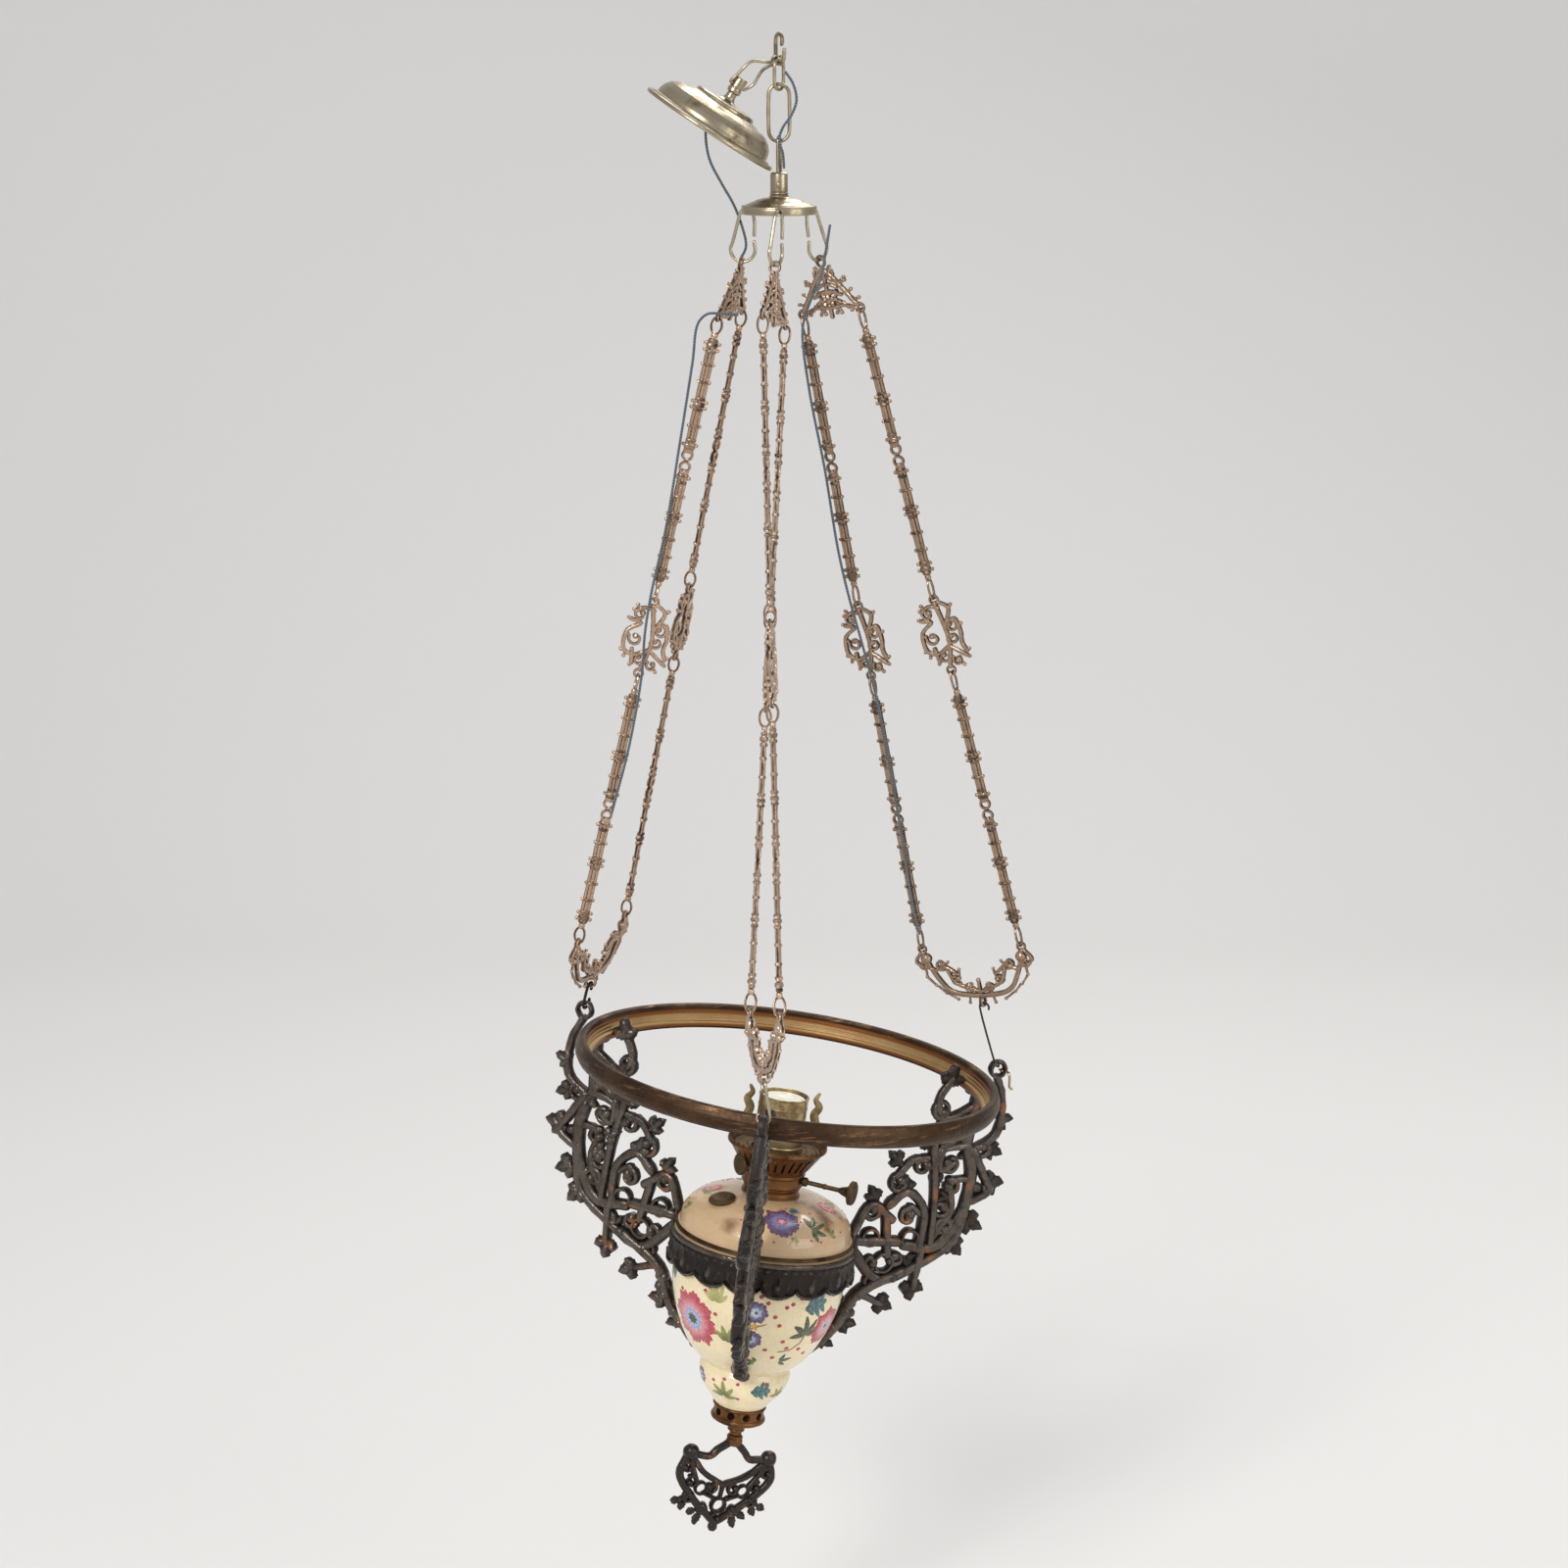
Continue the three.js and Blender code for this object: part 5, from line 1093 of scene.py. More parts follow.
def make_chains():
    for name, *_ in CHAINS:
        h = hanging(name)
        metal = f"cast {name}"
        crown_form(h["eye_turn"]).piece(f"crown_{name}_casting", h["crown"], "lamp", "rusty_iron", metal,
                                        f"crown_{name}")
        yoke_form().piece(f"yoke_{name}_casting", h["yoke"], "lamp", "rusty_iron", metal, f"yoke_{name}")
        for tag, (top, way, pitch, face) in zip("ab", h["strands"]):
            for part, form, depth in (
                    ("upper_bar", bar_form(pitch, h["crown_turn"] - face, 0), pitch + BAR_LONG / 2),
                    ("mid_plate", plate_form(), 2 * pitch + BAR_LONG),
                    ("lower_bar", bar_form(pitch, 0, h["yoke_turn"] - face),
                     3 * pitch + 1.5 * BAR_LONG + PLATE_LONG)):
                node = f"{part}_{name}_{tag}"
                form.piece(node + "_casting", hung(top + way * depth, around(face), way), "lamp", "rusty_iron",
                           metal, node)
        thick, bend = (1.8, 4.4) if name == "right" else (2.6, 5)
        lug = h["foot"] + h["down"] * (HOOK_EYE[0] - seat(bend, thick, 0.7))
        eye = h["arm_seat"] - h["down"] * (ARM_HOLE - seat(bend, thick, 1.0))
        node = "tie_wire_right" if name == "right" else f"s_hook_{name}"
        wire = double_hook(lug, eye, around(h["yoke_turn"]), around(h["arm"] + 90), thick, bend)
        wire.piece(node + "_wire", Matrix.Identity(4), "lamp", "steel_wire",
                   "bright wire" if name == "front" else "steel wire", node)


# Shade ring and arms

def make_ring():
    r = size("ring_radius")
    f = Form().lathe([
        (r - 6, 9.5), (r - 3.6, 9.3), (r - 2.6, 8.2), (r - 1.6, 5.8), (r - 0.3, 2.4), (r, -0.4),
        (r - 0.8, -3.8), (r - 3, -7.6), (r - 5.4, -8.6), (r - 6, -9.9), (r - 8, -10.5), (r - 14.5, -10.5),
        (r - 14.5, -4.6), (r - 11.2, -4.6), (r - 11.2, -2.4), (r - 10.2, -2.0), (r - 10.4, 0.6), (r - 9.4, 1.1),
        (r - 9.7, 3.6), (r - 8.6, 4.1), (r - 8.9, 7.0), (r - 8.4, 8.6)], 160, 0.5,
        lambda x, z: max(0.0, min(1.0, (6.5 - z) / 7)) if x < r - 7.6 and z > -9 else 0.0)
    f.piece("shade_ring_turning", BASKET_MM, "lamp", "brass", "ring brass", "shade_ring", sharp=50)


def arm_form():
    """One pierced bracket, in the plane of its arm."""
    main, leaf, fine, tail = 10, 12, 8, 13
    spine = [(135, -178), (94, -200), (78, -230), (49, -256)]
    f = Form().eye(ARM_EYE_R, ARM_EYE_Z, ARM_HOLE, ARM_EYE_WIDE, main * 0.8, 24)
    strokes = (
        ([(200, 0), (208, -20), (207, -52), (184, -68)], (5.4, 7.4), main),
        ([(175, -13.3), (191, -13.3)], 5, main), ([(184, -13), (180, -60)], (8.6, 9.6), main),
        ([(182, -26), (156, -38), (147, -24), (157, -3)], (6.2, 6), fine),
        ([(178, -56), (189, -88), (184, -128), (163, -156), (134, -154)], (10.4, 9), main),
        ([(187, -66), (200, -88), (208, -103), (193, -113)], (7, 7), leaf),
        ([(182, -62), (158, -67), (158, -85), (170, -78)], (7, 5.6), leaf),
        ([(148, -62), (156, -106), (159, -156)], (7.4, 6), main), ([(152, -84), (158, -64), (181, -51)], 6.8, main),
        ([(149, -66), (152, -38)], 5.8, fine), ([(153, -84), (134, -75), (117, -92)], (6.4, 5.6), fine),
        ([(188, -93), (171, -96), (174, -122), (160, -148)], (6, 6), fine),
        ([(113, -118), (129, -105), (147, -120), (148, -158)], 7.2, leaf),
        ([(149, -128), (134, -119), (134, -131)], (5.4, 5.4), fine),
        ([(83, -143), (97, -117), (119, -131)], 7, main), ([(88, -150), (128, -151)], 8.6, main),
        ([(112, -126), (119, -163)], 7.4, main),
        ([(188, -124), (180, -151), (150, -172), (114, -186), (84, -158)], (7, 8.6), main),
        ([(151, -156), (148, -192)], (7.4, 5.6), leaf), ([(96, -198), (119, -208)], (6.4, 5), fine),
        (spine, (9, 7), tail),
    )
    for points, widths, thick in strokes:
        f.stroke(points, widths, thick, stout=1.2)
    for x, z, hole, width in ((100, -147, 5.4, 4.2), (138, -148, 5.4, 4.2), (116, -170, 6, 4.6)):
        f.eye(x, z, hole, width, main)
    for x, z, r, start, sweep in (
            (167, -79, 9, 200, 320), (171, -101, 8, 110, -300), (141, -82, 9, 60, 320), (121, -98, 9, 130, 310),
            (134, -128, 8, 90, 320), (196, -104, 9, 40, -310), (100, -124, 8, 160, 310),
            (152, -30, 9, 250, -310), (195, -32, 8, 90, 300), (195, -66, 8, 20, -300), (168, -138, 9, 20, 310),
            (106, -188, 8, 10, 300), (88, -216, 7.4, 60, 300), (164, -120, 8, 330, -300),
            (128, -166, 7, 200, 290), (176, -40, 8, 160, 300), (166, -54, 7.4, 30, 300),
            (104, -172, 7, 100, 300)):
        f.curl(x, z, r, start, sweep, 6, fine)
    for x, z, angle, long in (
            (157, -6, 80, 17), (208, -40, 15, 14), (206, -98, 10, 17), (192, -132, -25, 17),
            (180, -152, -48, 16), (148, -190, -90, 16), (118, -207, -25, 15), (160, -62, 165, 15),
            (128, -104, 100, 15), (146, -62, 125, 15), (86, -226, -5, 14), (70, -240, -35, 12),
            (100, -112, 118, 13), (170, -110, 205, 13), (186, -70, 200, 13), (140, -172, 60, 12),
            (160, -98, 150, 13), (118, -78, 140, 13), (204, -66, -20, 13)):
        f.trefoil(x, z, angle, long, main)
    strap = 83.3
    f.stroke([(strap, -141.4), (strap, -177)], 3.4, main, 4)
    f.ball(strap + 2.4, 0, -160, 3.4, 1.1)
    for i, spot in enumerate(through(spine, 4)):
        f.ball(spot.x + 2.6 * math.sin(i * 2.1), 3.4 * math.cos(i * 2.6), spot.z, 5, 1.1, 10)
    return f.roughen(0.8, 6)


def make_arms():
    for name, *_, arm, _, _, _ in CHAINS:
        arm_form().piece(f"arm_{name}_bracket", BASKET_MM @ turn(arm), "lamp", "bronze", "dark bronze",
                         f"arm_{name}", sharp=50)
    outwards = upright(-15)
    middle = Vector((ARM_EYE_R, 0, ARM_EYE_Z)) + outwards * (ARM_HOLE + ARM_EYE_WIDE / 2)
    line = [middle + outwards * (4.4 * math.cos(math.radians(a))) + Y * (4.4 * math.sin(math.radians(a)))
            for a in range(215, 4, -35)]
    end = line[-1]
    line += [end + Vector(p) for p in ((0.8, -2.2, -3), (1.4, -2.6, -8), (2.6, -2, -13), (5.4, -1, -15))]
    hook = Form().wire(line, 2.4, 4, 12)
    hook.piece("broken_hook_wire", BASKET_MM @ turn(23), "lamp", "brass", "bright wire", "broken_hook_right")


# Gallery band, vase and font

def make_band():
    """The band: sixteen hanging lobes with ribs, fronds, a row of beads and a raised rim."""
    outer, lip, top = 79.5, 81.3, -145
    inner, recess = outer - 4.3, 78.3
    ledge = VASE_TOP - 3.3
    lobes, lobe_steps = 16, 14

    def ridge(value, middle, reach):
        return max(0, 1 - abs(value - middle) / reach)

    rings, high = [], []
    for i, (u, v) in enumerate(circle(lobes * lobe_steps)):
        share = (i % lobe_steps) / lobe_steps
        drop = 24 + 7 * math.sin(math.pi * share) ** 0.62
        section = [(recess, top, 0.2), (lip - 0.6, top, 0.8), (lip, top - 1, 0.9), (lip, top - 3, 0.7),
                   (outer, top - 4.6, 0.1)]
        for k in range(1, 13):
            t = k / 12
            rib = ridge(share, 0.5, 0.09) * ridge(t, 0.5, 0.42)
            frond = max(0, math.sin(share * math.pi * 6)) * ridge(t, 0.62, 0.22)
            bead = ridge(t, 0.1, 0.07) * abs(math.sin(share * math.pi * 4))
            level = min(1, ridge(t, 0.93, 0.09) + rib + frond * 0.7 + bead)
            section.append((outer + 3.2 * level - 0.6, top - 5 - (drop - 5) * t, level))
        foot = top - drop
        section += [(outer - 0.6, foot - 0.3, 0.3), (inner + 0.6, foot - 0.2, 0.2), (inner, foot + 1, 0.1),
                    (inner, ledge, 0.1), (recess, ledge, 0.1)]
        rings.append([Vector((u * r, v * r, z)) for r, z, _ in section])
        # The relief level is also the finish's high: raised relief gets the light colour, partly wear and partly
        # painted highlight; low places get the dark, partly dirt and partly painted shade.
        high.append([level for *_, level in section])
    Form().rings(rings, True, high).roughen(0.3, 4).piece(
        "gallery_band_casting", BASKET_MM, "lamp", "aged_brass", "band bronze", "gallery_band", sharp=55)


def smooth_profile(points, steps=5):
    return [(p.x, p.z) for p in through(points, steps)]


VASE_SIDE = (
    (74.4, -149.6), (74.8, -158), (74.2, -172), (72.6, -196), (66, -219), (54, -243), (44.5, -254),
    (37.6, -259.2))
VASE_BULGE = ((37.0, -259.8), (39.6, -266), (36, -279), (27, -291.5), (22, VASE_FOOT))


def make_vessels():
    outer = smooth_profile(VASE_SIDE) + smooth_profile(VASE_BULGE)
    f = Form().lathe([(77.6, VASE_TOP), (77.6, -149.5)] + outer + [
        (3.4, VASE_FOOT), (3.4, VASE_FOOT + 5), (20, VASE_FOOT + 5), (30.6, -279), (34, -266), (32.4, -260),
        (37, -254), (49, -240), (61, -216), (67.6, -195), (69.6, -170), (72.8, VASE_TOP)], 144, 0.35)
    f.piece("vase_bowl", BASKET_MM, "lamp", "glaze", "vase glaze", "vase", sharp=45)
    dome = [(r, dome_at(r)) for r in (21, 26, 32, 40, 48, 56, 62, 67, 70, 72, 73.2, 73.8)]
    inside = [(r - 2.6 * (r / 73.8) - 0.4, dome_at(r) - 2.6) for r in (32, 48, 62, 70.5)]
    foot = FONT_SEAT - 64
    f = Form().lathe([(19.9, FONT_TOP)] + dome + [
        (73.9, DOME_FOOT + 0.2), (74.6, DOME_FOOT - 0.6), (76, DOME_FOOT - 1), (76, FONT_SEAT), (68, FONT_SEAT),
        (66, -190), (40, foot), (0, foot), (0, foot + 2.6), (38.8, foot + 2.6), (63.4, -189), (65.4, DOME_FOOT)]
        + inside[::-1] + [(19.9, FONT_TOP - 2.6)], 144, 0.3)
    well = Form().put(peg(7.6, -6, 6, turn(90, "Y")), filler_place())
    f.piece("font_dome", BASKET_MM, "font", "glaze", "font glaze", "font", sharp=45, cutters=[well])
    for name, radius, z, thick in (("font_rim_ring", 76.3, -142.4, 2.2), ("font_edge_ring", 75.4, -140.8, 1.8)):
        ring = Form().wire([(u * radius, v * radius, z) for u, v in circle(96)], thick, 1, 10, closed=True)
        ring.piece(name, BASKET_MM, "font", "tarnished_brass", "rim brass")


def filler_place():
    r, way = 49.4, -145
    slope = (dome_at(r + 1) - dome_at(r - 1)) / 2
    up = (around(way) * -slope + Z).normalized()
    along = around(way + 90)
    return basis(along.cross(up), along, up, around(way) * r + Z * dome_at(r))


def make_filler():
    f = Form().lathe([
        (0, 3.5), (4.6, 3.5), (5.2, 4.1), (7.6, 4.1), (8.3, 3.9), (11.1, 3.0), (11.3, 2.4), (11.3, 1.0),
        (6.8, 0.9), (6.8, -5.1), (0, -5.1)], 64, 0.3)
    teeth(f, [(0, 1.1), (0.42, 1.1), (0.42, 2.5), (0, 2.6)], 36, 6, move(11.2, 0, 0))
    f.piece("filler_cap_disc", BASKET_MM @ filler_place(), "filler_cap", "tarnished_brass",
            "burner brass", "filler_cap")


# Painted flowers

class Glazed:
    """Strokes of enamel laid on a turned, glazed surface."""

    def __init__(self, profile):
        self.profile = [Vector((r, z)) for r, z in profile]
        self.marks = running(self.profile)
        self.form = Form()
        self.az = self.down = 0.0

    def at(self, s):
        s = min(max(s, 0), self.marks[-1] - 1e-4)
        i = next(k for k in range(1, len(self.marks)) if self.marks[k] >= s)
        t = (s - self.marks[i - 1]) / (self.marks[i] - self.marks[i - 1])
        way = (self.profile[i] - self.profile[i - 1]).normalized()
        return self.profile[i - 1].lerp(self.profile[i], t), Vector((-way.y, way.x))

    def start(self, azimuth, value, axis=1):
        """Strokes that follow are drawn from this azimuth, at this height or radius."""
        self.az = azimuth
        for i in range(1, len(self.profile)):
            a, b = self.profile[i - 1][axis], self.profile[i][axis]
            if min(a, b) <= value <= max(a, b) and a != b:
                self.down = self.marks[i - 1] + (self.marks[i] - self.marks[i - 1]) * (value - a) / (b - a)
                break
        return self

    def put(self, u, v, lift):
        point, out = self.at(self.down + v)
        r = point.x + out.x * lift
        a = math.radians(self.az) + u / max(point.x, 4)
        return Vector((math.cos(a) * r, math.sin(a) * r, point.y + out.y * lift))

    def brush(self, start, stop, wide, root, tip, blunt, bend=0.0):
        """A stroke from start to stop, (right, down) in millimetres, its colour running from root to tip."""
        relief = size("petal")
        root, tip = linear(root), linear(tip)
        a, b = Vector(start), Vector(stop)
        side = Vector((-(b - a).y, (b - a).x)).normalized()
        rings, colours = [], []
        for i in range(8):
            t = i / 7
            middle = a.lerp(b, t) + side * (bend * math.sin(math.pi * t))
            half = max(0.12, wide / 2 * math.sin(math.pi * (0.04 + 0.92 * t ** blunt)) ** 0.65)
            rings.append([self.put(*(middle + side * (k * half)), lift * relief)
                          for k, lift in ((-1, -0.2), (-0.8, 0.75), (-0.3, 1), (0.3, 1), (0.8, 0.75), (1, -0.2),
                                          (0.4, -0.8), (-0.4, -0.8))])
            deep = min(1, t * 1.6)
            colours.append(tuple(p + (q - p) * deep for p, q in zip(root, tip)))
        self.form.rings(rings, paint=colours)

    def dot(self, u, v, across, code):
        self.brush((u - across * 0.5, v), (u + across * 0.5, v), across, code, code, 1.0)

    def petals(self, count, inner, outer, wide, root, tip, first, fan, ragged=0.12):
        """A ring of petals, each a fan of strokes with an uneven outer edge."""
        for i in range(count):
            for k in range(fan):
                spread = (k - (fan - 1) / 2) / max(1, fan - 1)
                a = math.radians(first + 360 * i / count + spread * 360 / count * 0.62)
                reach = outer * (1 - ragged * abs(spread) * 2 + 0.05 * math.sin(7 * i + 3 * k))
                out = Vector((math.sin(a), -math.cos(a)))
                self.brush(out * inner, out * reach, wide, root, tip, 1.25)

    def bloom(self, radius, outer, pale, ring, heart, count, first):
        """An open flower: petals, a pale ring of strokes and a dark heart."""
        self.petals(count, radius * 0.34, radius, radius * 0.27, pale, outer, first, 4)
        self.petals(count, radius * 0.16, radius * 0.52, radius * 0.17, *ring, first + 180 / count, 2, 0.05)
        for u, v in circle(9):
            self.brush((0, 0), (u * radius * 0.23, v * radius * 0.23), radius * 0.15, heart, heart, 0.9)

    def spray(self, angle, count, long, wide, root, tip, open_):
        """Leaves fanning from one point; angle 0 is up, 90 to the right."""
        for i in range(count):
            spread = (i / max(1, count - 1) - 0.5) * 2 * open_
            a = math.radians(angle + spread)
            reach = long * (1 - 0.25 * abs(spread) / max(1, open_))
            self.brush((math.sin(a) * 1.2, -math.cos(a) * 1.2), (math.sin(a) * reach, -math.cos(a) * reach), wide,
                       root, tip, 0.8, wide * 0.12)

    def lobed(self, angle, long, wide, code, dark):
        """A broad leaf with pointed lobes to both sides."""
        a = math.radians(angle)
        way, side = Vector((math.sin(a), -math.cos(a))), Vector((math.cos(a), math.sin(a)))
        self.brush((0, 0), way * long, wide * 0.6, dark, code, 0.8)
        for t, reach in ((0.15, 0.42), (0.42, 0.62), (0.68, 0.5)):
            for out in (-1, 1):
                self.brush(way * long * t, way * long * (t + 0.2) + side * (out * wide * reach), wide * 0.3,
                           dark, code, 0.8)

    def stem(self, points, wide, code):
        for a, b in zip(points, points[1:]):
            over = (Vector(b) - Vector(a)) * 0.12
            self.brush(Vector(a) - over, Vector(b) + over, wide, code, code, 1.0)


PINK, PALE, BLUE, SKY, PLUM, RED = "b02c48", "e8a2a6", "7088b8", "b4c6de", "59345f", "a92437"
OLIVE, GREEN, TEAL, DEEP, BROWN, INK, YELLOW = "8b8b45", "4c5a2c", "2d6b70", "1f4350", "6a4a2a", "14141c", "d7b451"


def paint_vase(g, shift):
    """The flowers of one half of the vase; shift turns them round the lamp."""
    def at(azimuth, z):
        return g.start(azimuth + shift, z)

    at(-139, -212.4).bloom(27, PINK, PALE, (SKY, BLUE), INK, 8, 8)
    at(-90, -190.7).petals(7, 4, 11.5, 5.2, BLUE, PLUM, 10, 2)
    g.petals(6, 1, 5.4, 2.6, SKY, SKY, 0, 1)
    g.dot(0, 0, 3, INK)
    at(-91, -216.7).petals(7, 3.6, 10.5, 4.8, BLUE, PLUM, 30, 2)
    g.petals(6, 1, 5, 2.6, SKY, SKY, 0, 1)
    g.dot(0, 0, 2.8, INK)
    at(-90, -203.6).petals(5, 0.4, 4, 2.4, YELLOW, "b98a34", 0, 1)
    at(-92, -203.5).stem([(-14, 3), (-6, 5), (3, 1), (12, -3)], 1.1, BROWN)
    at(-56, -186).lobed(78, 24, 19, TEAL, DEEP)
    at(-50, -212).spray(-12, 5, 20, 5.8, GREEN, "2f3b24", 82)
    g.stem([(0, 0), (-2, 8), (-9, 15), (-19, 17)], 1.2, BROWN)
    at(-110, -224).spray(4, 4, 18, 5.2, GREEN, OLIVE, 48)
    at(-119, -189).spray(-4, 5, 18, 5.2, OLIVE, "b7b070", 58)
    at(-149, -178).spray(-30, 2, 12, 4.6, "b9b387", OLIVE, 20)
    for azimuth, z in (
            (-83, -181), (-77, -193), (-67, -217), (-50, -226), (-71, -234), (-88, -176), (-70, -184),
            (-73, -201), (-62, -224), (-127, -182), (-104, -232), (-98, -238), (-60, -176), (-150, -190),
            (-118, -200), (-41, -232), (-66, -181), (-79, -226)):
        at(azimuth, z).dot(0, 0, 4, RED)
    at(-30, -207).petals(7, 5, 19, 7, PALE, RED, 0, 3)
    g.petals(7, 2, 8, 3, SKY, BLUE, 20, 1)
    g.dot(0, 0, 4.4, INK)
    at(-64, -238).spray(75, 3, 12, 4, GREEN, DEEP, 50)
    at(-84, -241).spray(-70, 3, 10, 3.6, OLIVE, GREEN, 46)
    at(-164, -187).lobed(-20, 16, 13, TEAL, DEEP)
    at(-5, -190).spray(10, 5, 14, 4.4, GREEN, OLIVE, 66)
    at(-3, -222).lobed(150, 14, 12, TEAL, DEEP)
    at(-118, -283).spray(0, 5, 16, 5, GREEN, OLIVE, 84)
    at(-80, -274).lobed(84, 18, 15, TEAL, DEEP)
    at(-160, -272).petals(6, 2, 8, 4, SKY, PLUM, 0, 2)
    g.dot(0, 0, 2.4, INK)
    for azimuth, z in ((-116, -266), (-132, -270), (-55, -274), (-98, -268), (-96, -283), (-62, -266)):
        at(azimuth, z).dot(0, 0, 3.4, RED)
    at(-36, -281).spray(-4, 4, 12, 4, GREEN, OLIVE, 66)


def paint_dome(g, shift):
    def at(azimuth, r):
        return g.start(azimuth + shift, r, 0)

    at(-79, 57).petals(7, 4.4, 17, 7.4, BLUE, PLUM, 14, 3)
    g.petals(5, 1.4, 7, 3.4, "c96a7c", PINK, 0, 2)
    g.petals(5, 0.4, 3, 2, SKY, SKY, 30, 1)
    at(-67, 45).lobed(60, 9, 8, TEAL, DEEP)
    at(-55, 64).spray(78, 5, 17, 5.2, GREEN, "3c4a28", 86)
    g.stem([(0, 0), (7, 1), (14, -1)], 1.0, BROWN)
    at(-68, 70).spray(-120, 3, 9, 3, OLIVE, "b4ab72", 46)
    at(-40, 70).spray(60, 3, 9, 3, OLIVE, GREEN, 50)
    for azimuth, r in ((-85, 72), (-96, 54), (-72, 70), (-88, 45), (-50, 72), (-62, 57), (-46, 59), (-101, 66),
                       (-34, 62), (-58, 71), (-27, 70), (-77, 41), (-70, 39), (-112, 62), (-45, 48)):
        at(azimuth, r).dot(0, 0, 2.4, "b04a50")
    at(-176, 57).spray(-10, 4, 13, 4, GREEN, OLIVE, 60)
    at(-166, 71).spray(-60, 3, 10, 3.4, OLIVE, GREEN, 40)
    at(-10, 50).petals(6, 3, 10, 4.4, PALE, PINK, 0, 2)
    g.dot(0, 0, 3, BLUE)


def make_flowers():
    side = Glazed(smooth_profile(VASE_SIDE) + smooth_profile(VASE_BULGE))
    for shift in (0, 180):
        paint_vase(side, shift)
    side.form.piece("painted_flowers_vase", BASKET_MM, "lamp", "glaze", "enamel", sharp=60)
    dome = Glazed([(r, dome_at(r)) for r in (21, 26, 32, 40, 48, 56, 62, 67, 70, 72, 73.2, 73.7)])
    for shift in (0, 185):
        paint_dome(dome, shift)
    dome.form.piece("painted_flowers_font", BASKET_MM, "font", "glaze", "enamel", sharp=60)


# Burner

